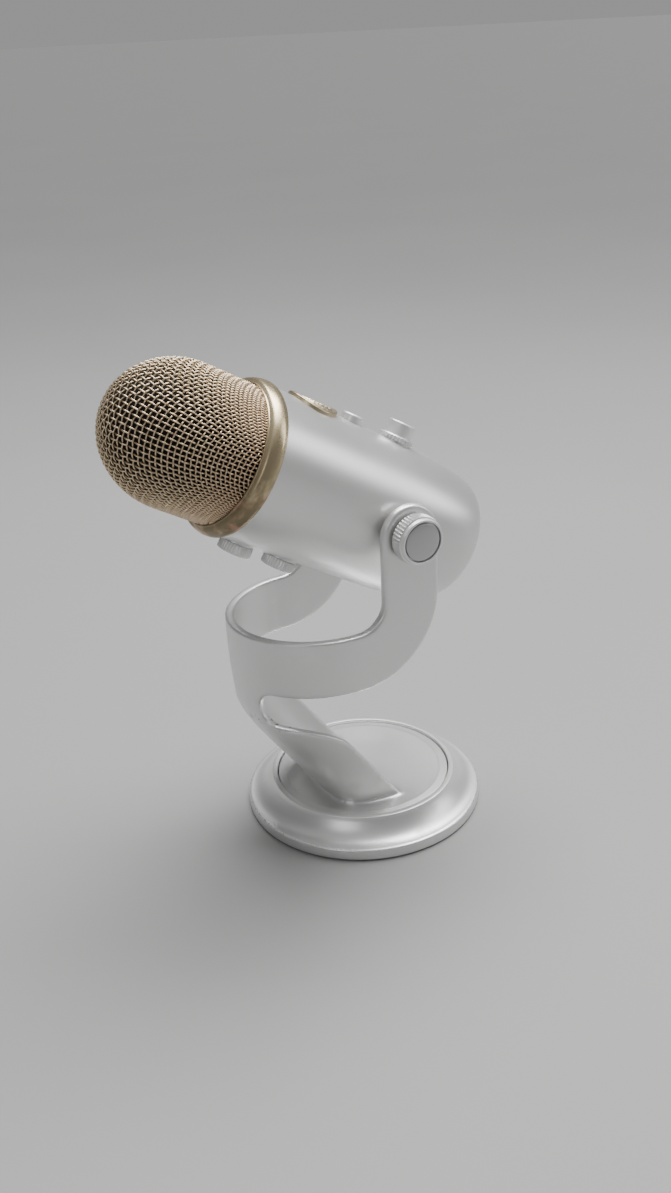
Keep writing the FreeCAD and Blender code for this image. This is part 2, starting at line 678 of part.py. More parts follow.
def dome_shell(radius, wall, foot, height):
    """A straight cap with a rounded end, of even wall."""
    inner = radius - wall
    inner_height = height - wall
    edges = [
        line((inner, foot), (radius, foot)),
        line((radius, foot), (radius, DOME_START)),
        ellipse_quarter(radius, height),
        line((0.0, DOME_START + height), (0.0, DOME_START + inner_height)),
        ellipse_quarter(inner, inner_height),
        line((inner, DOME_START), (inner, foot)),
    ]
    return revolved(edges)


def ellipse_quarter(radius, height):
    """The quarter ellipse from the side of the dome to its top."""
    centre = Vector(0, 0, DOME_START)
    if height >= radius:
        whole = Part.Ellipse(Vector(0, 0, DOME_START + height), Vector(radius, 0, DOME_START), centre)
    else:
        whole = Part.Ellipse(Vector(radius, 0, DOME_START), Vector(0, 0, DOME_START + height), centre)
    side = whole.parameter(Vector(radius, 0, DOME_START))
    top = whole.parameter(Vector(0, 0, DOME_START + height))
    low, high = min(side, top), max(side, top)
    if high - low > math.pi:
        low, high = high, low + 2.0 * math.pi
    return Part.ArcOfEllipse(whole, low, high).toShape()


# ----------------------------------------------------------------- controls
def control(height, rear=False):
    """The placement that turns +Z out of the shell at a height."""
    out = X_AXIS * -1.0 if rear else X_AXIS
    return FreeCAD.Placement(Z_AXIS * height, FreeCAD.Rotation(Z_AXIS, out))


def at_control(shape, height, rear=False):
    """A shape drawn along +Z, turned onto a control's axis."""
    placed = shape.copy()
    placed.Placement = control(height, rear).multiply(placed.Placement)
    return placed


def volume_knob():
    """Headphone volume knob: a tapered cap on a ribbed skirt."""
    skirt = cylinder(VOLUME_SKIRT_RADIUS, VOLUME_FOOT, VOLUME_SKIRT_TOP)
    height = VOLUME_TOP - VOLUME_SKIRT_TOP
    cap_foot = VOLUME_CAP_RADIUS + VOLUME_TAPER
    cap = Part.makeCone(cap_foot, VOLUME_CAP_RADIUS, height, Z_AXIS * VOLUME_SKIRT_TOP)
    cap = rounded_top(cap, VOLUME_TOP, VOLUME_EDGE_ROUND)
    bore = cylinder(SHAFT_RADIUS, VOLUME_FOOT - CUT_MARGIN, VOLUME_TOP - KNOB_ROOF)
    return skirt.fuse(cap).cut(bore)


def rear_knob():
    """Low ribbed knob on the back of the microphone."""
    knob = cylinder(REAR_KNOB_RADIUS, REAR_KNOB_FOOT, REAR_KNOB_TOP)
    knob = rounded_top(knob, REAR_KNOB_TOP, REAR_KNOB_EDGE_ROUND)
    return knob.cut(cylinder(SHAFT_RADIUS, REAR_KNOB_FOOT - CUT_MARGIN, REAR_KNOB_TOP - REAR_KNOB_ROOF))


def control_shaft(tip):
    """The turning shaft between a pot and its knob."""
    return cylinder(SHAFT_RADIUS, POT_FACE - POT_DEPTH + POT_FLOOR + SHAFT_END_GAP, tip)


def pot_housing():
    """Square pot with a round bush, bored for its shaft."""
    half = 0.5 * POT_WIDTH
    can = block((-half, half), (-half, half), (POT_FACE - POT_DEPTH, POT_FACE))
    bush_top = POT_FACE + POT_BUSH_HEIGHT
    bush = cylinder(POT_BUSH_RADIUS, POT_FACE, bush_top)
    bore = cylinder(SHAFT_HOLE_RADIUS, POT_FACE - POT_DEPTH + POT_FLOOR, bush_top + CUT_MARGIN)
    return can.fuse(bush).cut(bore)


def mute_button():
    """Round push button with a flange that keeps it in the shell."""
    cap = cylinder(MUTE_RADIUS, MUTE_FOOT, MUTE_TOP)
    cap = rounded_top(cap, MUTE_TOP, MUTE_EDGE_ROUND)
    flange = cylinder(MUTE_RADIUS + MUTE_FLANGE, MUTE_FOOT, MUTE_FOOT + MUTE_FLANGE_HEIGHT)
    light = through(LIGHT_RADIUS, MUTE_FOOT, MUTE_TOP, ORIGIN)
    return cap.fuse(flange).cut(light)


def mute_light():
    """Light guide down the middle of the mute button."""
    return cylinder(LIGHT_RADIUS, MUTE_FOOT, MUTE_TOP - PART_GAP)


def mute_switch():
    """Tact switch behind the mute button."""
    plunger_top = MUTE_FOOT - MUTE_TRAVEL - MUTE_GAP
    can_top = plunger_top - PLUNGER_HEIGHT
    can = block(
        (-SWITCH_HALF, SWITCH_HALF),
        (-SWITCH_HALF, SWITCH_HALF),
        (CONTROL_BOARD_X + BOARD_THICKNESS, can_top),
    )
    return can.fuse(cylinder(PLUNGER_RADIUS, can_top, plunger_top))


def emblem():
    """Plain round badge that follows the curve of the shell."""
    disc = cylinder(EMBLEM_RADIUS, 0.0, BODY_REACH, X_AXIS, Z_AXIS * EMBLEM_S)
    low = EMBLEM_S - EMBLEM_RADIUS - CUT_MARGIN
    high = EMBLEM_S + EMBLEM_RADIUS + CUT_MARGIN
    skin = tube(BODY_RADIUS + EMBLEM_PROUD, BODY_RADIUS, low, high)
    return skin.common(disc)


# -------------------------------------------------------------- inner parts
def plate_top():
    """Height of the end plate's inner face."""
    return BODY_END + PLATE_RECESS + PLATE_THICKNESS


def chassis_frame():
    """Foot ring over the end plate and two rails that carry the pivot."""
    foot = plate_top()
    ring_top = foot + RAIL_WALL
    frame = tube(FOOT_RING_RADIUS, FOOT_RING_BORE, foot, ring_top)
    half = 0.5 * RAIL_WIDTH
    for side in (-1.0, 1.0):
        y_range = sorted((side * (RAIL_Y - RAIL_WALL), side * RAIL_Y))
        frame = frame.fuse(block((-half, half), y_range, (foot, DECK_BOTTOM)))
    frame = frame.cut(cylinder(INSERT_BARREL_RADIUS, -BODY_REACH, BODY_REACH, Y_AXIS))
    for centre in end_screw_centres():
        frame = frame.cut(through(SCREW_RADIUS + SCREW_CLEARANCE, foot, ring_top, centre))
    frame = frame.cut(through(JACK_BODY_HALF + SOCKET_ROOM, foot, ring_top, X_AXIS * JACK_X))
    reach = 0.5 * USB_WIDTH + SOCKET_ROOM
    return frame.cut(block((USB_X - reach, USB_X + reach), (-reach, reach), (foot, ring_top)))


def capsule_deck():
    """Plastic deck that carries the capsules under the grille."""
    return tube(DECK_RADIUS, DECK_BORE, DECK_BOTTOM, DECK_BOTTOM + DECK_THICKNESS)


def capsule_tower():
    """Three-sided holder with one pocket for each capsule."""
    foot = DECK_BOTTOM + DECK_THICKNESS
    outer = CAPSULE_FACE + TOWER_CORE
    tower = cylinder(outer, foot, TOWER_TOP)
    pocket_floor = CAPSULE_FACE - CAPSULE_DEPTH + CAPSULE_PROUD
    for i in range(CAPSULE_COUNT):
        slab = block((CAPSULE_FACE, outer), (-outer, outer), (foot + TOWER_STEP, TOWER_TOP))
        pocket = cylinder(CAPSULE_RADIUS + PART_GAP, pocket_floor, outer, X_AXIS, Z_AXIS * CAPSULE_Z)
        for cutter in (slab, pocket):
            cutter.rotate(ORIGIN, Z_AXIS, FULL_TURN / CAPSULE_COUNT * i)
            tower = tower.cut(cutter)
    return tower


def capsule(index):
    """One condenser capsule: a can with a raised rim round its face."""
    face = CAPSULE_FACE + CAPSULE_PROUD
    axis_point = Z_AXIS * CAPSULE_Z
    can = cylinder(CAPSULE_RADIUS, face - CAPSULE_DEPTH, face, X_AXIS, axis_point)
    recess_radius = CAPSULE_RADIUS - CAPSULE_RIM
    recess = cylinder(recess_radius, face - CAPSULE_FACE_RECESS, face + CUT_MARGIN, X_AXIS, axis_point)
    can = can.cut(recess)
    can.rotate(ORIGIN, Z_AXIS, FULL_TURN / CAPSULE_COUNT * index)
    return can


def main_board():
    """Main circuit board, standing against the rails' front edges."""
    x_range = (MAIN_BOARD_X, MAIN_BOARD_X + BOARD_THICKNESS)
    ring_top = plate_top() + RAIL_WALL
    return block(x_range, (-MAIN_BOARD_HALF, MAIN_BOARD_HALF), (ring_top + BOARD_GAP, DECK_BOTTOM))


def control_board(z_range, sign):
    """Small board behind the front or rear controls."""
    x_range = sorted((sign * CONTROL_BOARD_X, sign * (CONTROL_BOARD_X + BOARD_THICKNESS)))
    return block(x_range, (-CONTROL_BOARD_HALF, CONTROL_BOARD_HALF), z_range)


def usb_socket():
    """Small digital socket with a tongue in its mouth, open downwards."""
    start = BODY_END + PLATE_RECESS + USB_RECESS
    half_width = 0.5 * USB_WIDTH - PART_GAP
    half_height = 0.5 * USB_HEIGHT - PART_GAP
    can = block(
        (USB_X - half_height, USB_X + half_height),
        (-half_width, half_width),
        (start, start + USB_LENGTH),
    )
    mouth = block(
        (USB_X - half_height + USB_WALL, USB_X + half_height - USB_WALL),
        (-half_width + USB_WALL, half_width - USB_WALL),
        (start - CUT_MARGIN, start + USB_MOUTH_DEPTH),
    )
    tongue = block(
        (USB_X - USB_TONGUE_HALF_THICKNESS, USB_X + USB_TONGUE_HALF_THICKNESS),
        (-USB_TONGUE_HALF_WIDTH, USB_TONGUE_HALF_WIDTH),
        (start + USB_TONGUE_START, start + USB_MOUTH_DEPTH + 0.5 * USB_WALL),
    )
    return can.cut(mouth).fuse(tongue)


def headphone_jack():
    """Round headphone socket with a square body above the plate."""
    start = BODY_END + PLATE_RECESS - JACK_PROUD
    centre = X_AXIS * JACK_X
    seat = plate_top()
    neck = cylinder(JACK_NECK_RADIUS - 0.5 * PART_GAP, start, seat, Z_AXIS, centre)
    body = block(
        (JACK_X - JACK_BODY_HALF, JACK_X + JACK_BODY_HALF),
        (-JACK_BODY_HALF, JACK_BODY_HALF),
        (seat, seat + JACK_BODY_LENGTH),
    )
    bore = cylinder(JACK_BORE_RADIUS, start - CUT_MARGIN, start + JACK_BORE_DEPTH, Z_AXIS, centre)
    return neck.fuse(body).cut(bore)


def make_stand():
    """The pieces of the base and stand."""
    save("base_ring", base_ring())
    save("base_screws", base_screws())
    save("foot_pad", foot_pad())
    save("yoke_stand", yoke_stand())


def make_microphone():
    """The shell and everything inside it."""
    save_mic("body_shell", body_shell())
    save_mic("end_plate", end_plate())
    save_mic("end_screws", end_screws())
    save_mic("thread_insert", thread_insert())
    save_mic("collar_ring", collar_ring())
    save_mic("grille_mesh", dome_shell(GRILLE_RADIUS, GRILLE_WALL, COLLAR_LEDGE, DOME_HEIGHT))
    deck_top = DECK_BOTTOM + DECK_THICKNESS
    save_mic("grille_liner", dome_shell(LINER_RADIUS, LINER_WALL, deck_top, LINER_DOME_HEIGHT))
    save_mic("chassis_frame", chassis_frame())
    save_mic("capsule_deck", capsule_deck())
    save_mic("capsule_tower", capsule_tower())
    for index, word in enumerate(("front", "left", "right")):
        save_mic("capsule_" + word, capsule(index))
    save_mic("main_board", main_board())
    save_mic("front_board", control_board(FRONT_BOARD_RANGE, 1.0))
    save_mic("rear_board", control_board(REAR_BOARD_RANGE, -1.0))
    save_mic("usb_socket", usb_socket())
    save_mic("headphone_jack", headphone_jack())
    save_mic("emblem", emblem())


def make_controls():
    """Knobs, button, their shafts and what they work."""
    save_mic("volume_knob", at_control(volume_knob(), VOLUME_S))
    save_mic("volume_shaft", at_control(control_shaft(VOLUME_TOP - KNOB_ROOF), VOLUME_S))
    save_mic("volume_pot", at_control(pot_housing(), VOLUME_S))
    save_mic("mute_button", at_control(mute_button(), MUTE_S))
    save_mic("mute_light", at_control(mute_light(), MUTE_S))
    save_mic("mute_switch", at_control(mute_switch(), MUTE_S))
    for word, height, housing in (("gain", GAIN_S, "gain_pot"), ("pattern", PATTERN_S, "pattern_switch")):
        save_mic(word + "_knob", at_control(rear_knob(), height, rear=True))
        shaft = control_shaft(REAR_KNOB_TOP - REAR_KNOB_ROOF)
        save_mic(word + "_shaft", at_control(shaft, height, rear=True))
        save_mic(housing, at_control(pot_housing(), height, rear=True))


if __name__ == "__main__":
    os.makedirs("parts", exist_ok=True)
    make_stand()
    make_pivot_parts()
    make_microphone()
    make_controls()
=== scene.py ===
"""Looks of a desktop microphone on a tilting strap stand.

Everything is in metres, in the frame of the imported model. Pieces of the microphone are shaped upright
around the pivot, with the grille along +Z and the front controls towards +X, and are then leaned back.
"""
import json
import logging
import math
from dataclasses import dataclass, field
from enum import Enum
from typing import Callable, Iterable, Optional, Sequence, Union

import bmesh
import bpy
import numpy as np
from mathutils import Matrix, Vector
from mathutils.bvhtree import BVHTree


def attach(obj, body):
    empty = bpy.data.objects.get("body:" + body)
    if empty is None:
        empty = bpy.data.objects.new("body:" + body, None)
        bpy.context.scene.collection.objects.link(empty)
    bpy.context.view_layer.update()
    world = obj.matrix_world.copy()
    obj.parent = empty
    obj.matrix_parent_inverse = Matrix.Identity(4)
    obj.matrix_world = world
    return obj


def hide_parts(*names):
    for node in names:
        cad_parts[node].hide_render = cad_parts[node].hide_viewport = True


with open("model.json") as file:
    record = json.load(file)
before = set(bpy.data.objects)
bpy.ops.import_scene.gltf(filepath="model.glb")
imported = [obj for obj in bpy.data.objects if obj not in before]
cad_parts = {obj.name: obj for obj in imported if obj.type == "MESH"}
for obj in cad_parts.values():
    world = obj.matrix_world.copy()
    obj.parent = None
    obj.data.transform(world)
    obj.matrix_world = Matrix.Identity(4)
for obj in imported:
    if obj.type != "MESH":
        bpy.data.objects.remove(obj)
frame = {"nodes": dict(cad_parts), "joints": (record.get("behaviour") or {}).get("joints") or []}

LOG = logging.getLogger("microphone")
MM = 0.001
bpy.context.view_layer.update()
PIVOT = Vector(next(j["pos_m"] for j in frame["joints"] if j["name"] == "mic_tilt"))
LEAN = math.radians(-59.0)
WELD = 1e-7
SLIVER = 1e-8
STITCH = 1e-6
RIB_FLATNESS = 0.7
RIM_REACH, RIM_HEIGHT, LIP_REACH, NOTCH_HEIGHT = 0.0597, 0.0062, 0.0466, 0.0695
MIC = Matrix.Translation(PIVOT) @ Matrix.Rotation(LEAN, 4, "Y")
Number = Union[float, "Signal"]
Point = tuple[float, float]
Triple = tuple[float, float, float]
PALE_SILVER: Triple = (0.78, 0.78, 0.775)


# ------------------------------------------------------------------ shading
def joined(operation: str, swapped: bool = False) -> Callable[..., "Signal"]:
    """Make a method of Signal that works through one Math node.

    Args:
        operation: The node's operation.
        swapped: Whether the signal is the right-hand value.

    Returns:
        The method.
    """

    def method(self: "Signal", *others: Number) -> "Signal":
        values = (*others, self) if swapped else (self, *others)
        return self.paint.node("ShaderNodeMath", {"operation": operation}, dict(enumerate(values)))

    return method


@dataclass(frozen=True)
class Signal:
    """A number carried by a shader socket, which takes part in Python arithmetic.

    wave is the sine of an angle in radians, size the value without its sign, least and most the
    smaller and the larger of two values, and y.turn_with(x) the angle of a point around the origin.
    """

    paint: "Paint"
    socket: bpy.types.NodeSocket

    __add__ = joined("ADD")
    __radd__ = joined("ADD", swapped=True)
    __sub__ = joined("SUBTRACT")
    __rsub__ = joined("SUBTRACT", swapped=True)
    __mul__ = joined("MULTIPLY")
    __rmul__ = joined("MULTIPLY", swapped=True)
    __truediv__ = joined("DIVIDE")
    __rtruediv__ = joined("DIVIDE", swapped=True)
    __pow__ = joined("POWER")
    wave = joined("SINE")
    size = joined("ABSOLUTE")
    least = joined("MINIMUM")
    most = joined("MAXIMUM")
    turn_with = joined("ARCTAN2")

    def rise(self, low: float, high: float) -> "Signal":
        """Smooth step from 0 at low to 1 at high; low may be the larger."""
        settings = {"interpolation_type": "SMOOTHSTEP"}
        inputs = {"Value": self, "From Min": low, "From Max": high, "To Min": 0.0, "To Max": 1.0}
        if low > high:
            inputs.update({"From Min": high, "From Max": low, "To Min": 1.0, "To Max": 0.0})
        return self.paint.node("ShaderNodeMapRange", settings, inputs)


class Paint:
    """One node material, built by adding nodes through a single method."""

    def __init__(self, name: str) -> None:
        """Start a material with a Principled shader."""
        self.material = bpy.data.materials.new(name)
        self.material.use_nodes = True
        self.tree = self.material.node_tree
        self.tree.nodes.clear()
        output = self.tree.nodes.new("ShaderNodeOutputMaterial")
        self.shader = self.tree.nodes.new("ShaderNodeBsdfPrincipled")
        self.tree.links.new(self.shader.outputs[0], output.inputs[0])

    def feed(self, socket: bpy.types.NodeSocket, value: object) -> None:
        """Set a socket's value, or link it.

        Args:
            socket: The input to fill.
            value: A number, a tuple, or a Signal to link.
        """
        if isinstance(value, Signal):
            self.tree.links.new(value.socket, socket)
        elif isinstance(value, (tuple, list)) and len(value) == 3 and socket.type == "RGBA":
            socket.default_value = (*value, 1.0)
        else:
            socket.default_value = value

    def node(
        self,
        kind: str,
        settings: Optional[dict] = None,
        inputs: Optional[dict] = None,
        output: Union[int, str] = 0,
    ) -> Signal:
        """Add one node.

        Args:
            kind: The node's type.
            settings: Attributes, set first.
            inputs: Values or links by socket name or index.
            output: The output to return.

        Returns:
            The chosen output, wrapped.
        """
        made = self.tree.nodes.new(kind)
        for name, value in (settings or {}).items():
            setattr(made, name, value)
        for key, value in (inputs or {}).items():
            self.feed(made.inputs[key], value)
        return Signal(self, made.outputs[output])

    def place(self, upright: bool = False) -> Signal:
        """Coordinates on the piece, in metres.

        Args:
            upright: Whether to return the microphone's own upright frame.

        Returns:
            The coordinate vector.
        """
        here = self.node("ShaderNodeTexCoord", output="Object")
        if not upright:
            return here
        turn = {"Vector": here, "Location": tuple(PIVOT), "Rotation": (0.0, LEAN, 0.0)}
        return self.node("ShaderNodeMapping", {"vector_type": "TEXTURE"}, turn)

    def stretch(self, vector: Signal, scale: Triple) -> Signal:
        """Stretch a coordinate vector."""
        return self.node("ShaderNodeMapping", {"vector_type": "POINT"}, {"Vector": vector, "Scale": scale})

    def parts(self, vector: Signal) -> tuple[Signal, Signal, Signal]:
        """The three numbers of a vector."""
        split = self.tree.nodes.new("ShaderNodeSeparateXYZ")
        self.feed(split.inputs[0], vector)
        return tuple(Signal(self, out) for out in split.outputs)

    def noise(self, vector: Signal, scale: float, detail: float = 3.0, rough: float = 0.5) -> Signal:
        """Fractal noise from 0 to 1, with its scale in patches per metre."""
        inputs = {"Vector": vector, "Scale": scale, "Detail": detail, "Roughness": rough}
        return self.node("ShaderNodeTexNoise", None, inputs, "Fac")

    def cells(self, vector: Signal, scale: float) -> Signal:
        """Distance to scattered points, with its scale in points per metre."""
        return self.node("ShaderNodeTexVoronoi", None, {"Vector": vector, "Scale": scale}, "Distance")

    def mix(self, first: object, second: object, share: Number) -> Signal:
        """Blend two colours."""
        inputs = {0: share, 6: first, 7: second}
        return self.node("ShaderNodeMix", {"data_type": "RGBA"}, inputs, 2)

    def relief(
        self,
        height: Number,
        distance: float,
        strength: float = 1.0,
        base: Optional[Signal] = None,
    ) -> Signal:
        """Turn a height into a normal.

        Args:
            height: The height, from 0 to 1.
            distance: How far 1 stands out, in metres.
            strength: Share of the effect that is kept.
            base: A normal to build on.

        Returns:
            The new normal.
        """
        inputs = {"Strength": strength, "Distance": distance, "Height": height}
        if base is not None:
            inputs["Normal"] = base
        return self.node("ShaderNodeBump", None, inputs)

    def finish(self, colour: Signal, rough: Number, metal: Number, normal: Signal) -> bpy.types.Material:
        """Fill the shader's main sockets and return the material."""
        sockets = {"Base Color": colour, "Roughness": rough, "Metallic": metal, "Normal": normal}
        for name, value in sockets.items():
            self.feed(self.shader.inputs[name], value)
        return self.material


def shade(tone: Triple, gain: float, lift: float = 0.0) -> Triple:
    """A lighter or darker version of a tone."""
    return tuple(min(1.0, c * gain + lift) for c in tone)


class Region(Enum):
    """Where on the object a satin-painted surface is, which decides its wear, its dark marks and its painted
    highlight.
    """

    BASE = "base"
    STAND = "stand"
    MICROPHONE = "microphone"


@dataclass(frozen=True)
class SatinPaint:
    """Silver paint with fine metal flake, scuffed where hands and desks touch it, with dark speckled marks at
    the stand's notch and a painted highlight along the base's lip.
    """

    name: str
    region: Region
    tone: Triple = (0.73, 0.73, 0.725)
    metal: float = 0.78
    rough: float = 0.35

    def wear_and_painted_light(self, paint: Paint, here: Signal) -> tuple[Number, Number]:
        """Share of brightening and share of darkening: worn edges and flecks plus a painted highlight on the
        base's lip; dust, grime and dark speckled marks at the stand's notch.

        Args:
            paint: The material being built.
            here: Coordinates on the piece.

        Returns:
            Two masks from 0 to 1.
        """
        x, y, z = paint.parts(here)
        if self.region is Region.BASE:
            reach = (x * x + y * y) ** 0.5
            edge = (reach - RIM_REACH).size().rise(0.0009, 0.0) * (z - RIM_HEIGHT).size().rise(0.0010, 0.0)
            # painted highlight: a steady bright ring along the lip's rounded edge
            lip = (reach - LIP_REACH).size().rise(0.0010, 0.0) * z.rise(0.0152, 0.0162)
            chips = paint.noise(here, 420.0, 4.0, 0.65).rise(0.46, 0.60)
            dust = paint.noise(here, 60.0, 4.0).rise(0.60, 0.85)
            return (edge * (0.35 + 0.65 * chips)).most(lip * 0.35), dust * 0.25
        if self.region is Region.STAND:
            # dark brown speckled marks on the strap around the notch
            notch = (z - NOTCH_HEIGHT).size().rise(0.0034, 0.0004)
            near = notch * x.rise(-0.042, -0.052) * y.rise(0.002, -0.006)
            darkening = paint.noise(here, 300.0, 4.0, 0.6).rise(0.54, 0.66) * near * 0.75
            rubbed = paint.noise(here, 35.0, 4.0, 0.6).rise(0.55, 0.80) * 0.3
            return rubbed, darkening + paint.noise(here, 60.0, 4.0, 0.6).rise(0.62, 0.9) * 0.10
        grime = paint.noise(here, 45.0, 4.0, 0.6).rise(0.62, 0.9) * 0.12
        return paint.noise(here, 900.0, 2.0).rise(0.74, 0.80) * 0.25, grime

    def build(self) -> bpy.types.Material:
        """Make the material."""
        paint = Paint(self.name)
        here = paint.place(upright=self.region is Region.MICROPHONE)
        worn_and_highlight, darkening = self.wear_and_painted_light(paint, here)
        cloud = paint.noise(here, 28.0, 3.0)
        flake = paint.noise(here, 5200.0, 1.0, 0.6)
        grain = paint.noise(here, 1500.0, 2.0)
        colour = paint.mix(shade(self.tone, 0.93), shade(self.tone, 1.06), cloud * 0.6 + flake * 0.4)
        # lighter where worn, plus the painted highlight on the base's lip
        colour = paint.mix(colour, (0.86, 0.86, 0.85), worn_and_highlight)
        # darker with dust and grime, and at the dark marks around the stand's notch
        colour = paint.mix(colour, (0.075, 0.055, 0.045), darkening)
        rough = self.rough + (cloud - 0.5) * 0.10 + (flake - 0.5) * 0.10 - worn_and_highlight * 0.10
        rough = rough + darkening * 0.25
        normal = paint.relief(flake * 0.5 + grain * 0.5, 0.000018, 0.55)
        normal = paint.relief(worn_and_highlight * -0.4, 0.00008, 0.6, normal)
        paint.shader.inputs["Coat Weight"].default_value = 0.06
        paint.shader.inputs["Coat Roughness"].default_value = 0.25
        return paint.finish(colour, rough, self.metal - darkening * 0.5, normal)


@dataclass(frozen=True)
class ChampagnePlate:
    """Champagne-gold plating with brown and rosy tarnished patches; the brown darkening is partly painted
    shade, made much stronger on the side facing down.
    """

    name: str
    tone: Triple = (0.64, 0.53, 0.34)
    tarnish_and_shade_amount: float = 0.95
    rough: float = 0.24

    def build(self) -> bpy.types.Material:
        """Make the material."""
        paint = Paint(self.name)
        here = paint.place(upright=True)
        x = paint.parts(here)[0]
        broad = paint.noise(paint.stretch(here, (1.0, 1.0, 2.2)), 55.0, 4.0, 0.6)
        speck = paint.noise(here, 520.0, 4.0, 0.7)
        # under is 1 on the side that faces down once the microphone leans back
        under = x.rise(0.020, -0.016)
        # painted shade: the brown tarnished patches darken the downward side far more than the top
        tarnish_and_shade = (broad.rise(0.28, 0.56) * (0.25 + 0.75 * under) * self.tarnish_and_shade_amount).least(1.0)
        rosy = paint.noise(here, 130.0, 2.0).rise(0.52, 0.66) * under
        colour = paint.mix(self.tone, (0.13, 0.10, 0.055), tarnish_and_shade * 0.85)
        colour = paint.mix(colour, (0.62, 0.34, 0.24), rosy * 0.55)
        colour = paint.mix(colour, (0.16, 0.12, 0.08), speck.rise(0.62, 0.72) * tarnish_and_shade * 0.8)
        rough = self.rough + tarnish_and_shade * 0.20 + (speck - 0.5) * 0.16
        normal = paint.relief(speck * 0.6 + broad * 0.4, 0.00003, 0.6)
        return paint.finish(colour, rough, 0.95 - tarnish_and_shade * 0.15, normal)


@dataclass(frozen=True)
class GrilleWire:
    """Plated wire, rosier and duller low down, with dust specks and painted shade where the wires dip under
    their crossings.
    """

    name: str
    tone: Triple = (0.68, 0.55, 0.38)

    def build(self) -> bpy.types.Material:
        """Make the material."""
        paint = Paint(self.name)
        here = paint.place(upright=True)
        x, y, z = paint.parts(here)
        broad = paint.noise(here, 40.0, 3.0)
        fine = paint.noise(here, 1400.0, 3.0, 0.65)
        rosy = (z.rise(0.118, 0.084) * (0.3 + 0.7 * broad)).least(1.0)
        colour = paint.mix(self.tone, (0.66, 0.49, 0.34), rosy)
        # painted shade: wires darken where they dip inside the form, under their crossings
        reach = (x * x + y * y) ** 0.5
        up = (z - Grille.dome_start * MM).most(0.0) * (Grille.radius / Grille.dome_height)
        outer, inner = (Grille.radius + 0.10) * MM, (Grille.radius - 0.55) * MM
        under_crossing_shade = (reach * reach + up * up).rise(outer**2, inner**2)
        # dark brown: dust specks plus the painted shade under the crossings
        colour = paint.mix(colour, (0.10, 0.07, 0.045), fine.rise(0.52, 0.74) * 0.35 + under_crossing_shade * 0.55)
        rough = 0.22 + broad * 0.08 + fine * 0.12
        normal = paint.relief(fine, 0.00003, 0.6)
        return paint.finish(colour, rough, 0.92, normal)


@dataclass(frozen=True)
class TurnedMetal:
    """Plain machined metal with tool lines round an axis of the microphone."""

    name: str
    tone: Triple
    metal: float = 1.0
    rough: float = 0.30
    line_scale: float = 2400.0
    along: Triple = (0.05, 1.0, 0.05)
    thread: float = 0.0

    def build(self) -> bpy.types.Material:
        """Make the material."""
        paint = Paint(self.name)
        here = paint.place(upright=True)
        lines = paint.noise(paint.stretch(here, self.along), self.line_scale, 2.0, 0.6)
        stain = paint.noise(here, 240.0, 4.0, 0.6)
        fine = paint.noise(here, 3200.0, 1.0)
        colour = paint.mix(self.tone, shade(self.tone, 0.78), stain.rise(0.42, 0.75) * 0.7 + lines * 0.3)
        rough = self.rough + (lines - 0.5) * 0.16 + (stain - 0.5) * 0.12
        normal = paint.relief(lines * 0.6 + fine * 0.4, 0.00002, 0.6)
        if self.thread > 0.0:
            x, y, z = paint.parts(here)
            turn = y.turn_with(x) / math.tau
            ridge = ((z / self.thread + turn) * math.tau).wave() * 0.5 + 0.5
            bore = (x * x + y * y) ** 0.5
            ridge = ridge * bore.rise(0.0079, 0.0076)
            normal = paint.relief(ridge, 0.00055, 1.0, normal)
            rough = rough + (1.0 - ridge) * 0.12
        return paint.finish(colour, rough, self.metal, normal)


@dataclass(frozen=True)
class MouldedPlastic:
    """Moulded plastic or rubber with a fine spark-eroded grain."""

    name: str
    tone: Triple
    rough: float = 0.55
    grain: float = 1800.0
    depth: float = 0.00004

    def build(self) -> bpy.types.Material:
        """Make the material."""
        paint = Paint(self.name)
        here = paint.place()
        grain = paint.noise(here, self.grain, 3.0, 0.6)
        cloud = paint.noise(here, 70.0, 3.0)
        dust = paint.noise(here, 300.0, 4.0, 0.7).rise(0.60, 0.82)
        colour = paint.mix(self.tone, shade(self.tone, 1.35, 0.008), cloud * 0.5 + grain * 0.3)
        colour = paint.mix(colour, shade(self.tone, 0.6, 0.12), dust * 0.18)
        rough = self.rough + (grain - 0.5) * 0.16 + dust * 0.10
        normal = paint.relief(grain, self.depth, 0.8)
        return paint.finish(colour, rough, 0.0, normal)


@dataclass(frozen=True)
class AcousticCloth:
    """Dark woven cloth that lines the grille."""

    name: str
    tone: Triple = (0.010, 0.0075, 0.006)

    def build(self) -> bpy.types.Material:
        """Make the material."""
        paint = Paint(self.name)
        here = paint.place(upright=True)
        x, y, z = paint.parts(here)
        round_it = (y.turn_with(x) * 60.0).wave() * 0.5 + 0.5
        along = (z * (math.tau / 0.0016)).wave() * 0.5 + 0.5
        weave = (round_it - along).size()
        fuzz = paint.noise(here, 1600.0, 4.0, 0.7)
        colour = paint.mix(self.tone, shade(self.tone, 2.0), weave * 0.6 + fuzz * 0.4)
        normal = paint.relief(weave * 0.7 + fuzz * 0.3, 0.00012, 0.9)
        return paint.finish(colour, 0.85 + fuzz * 0.1, 0.0, normal)


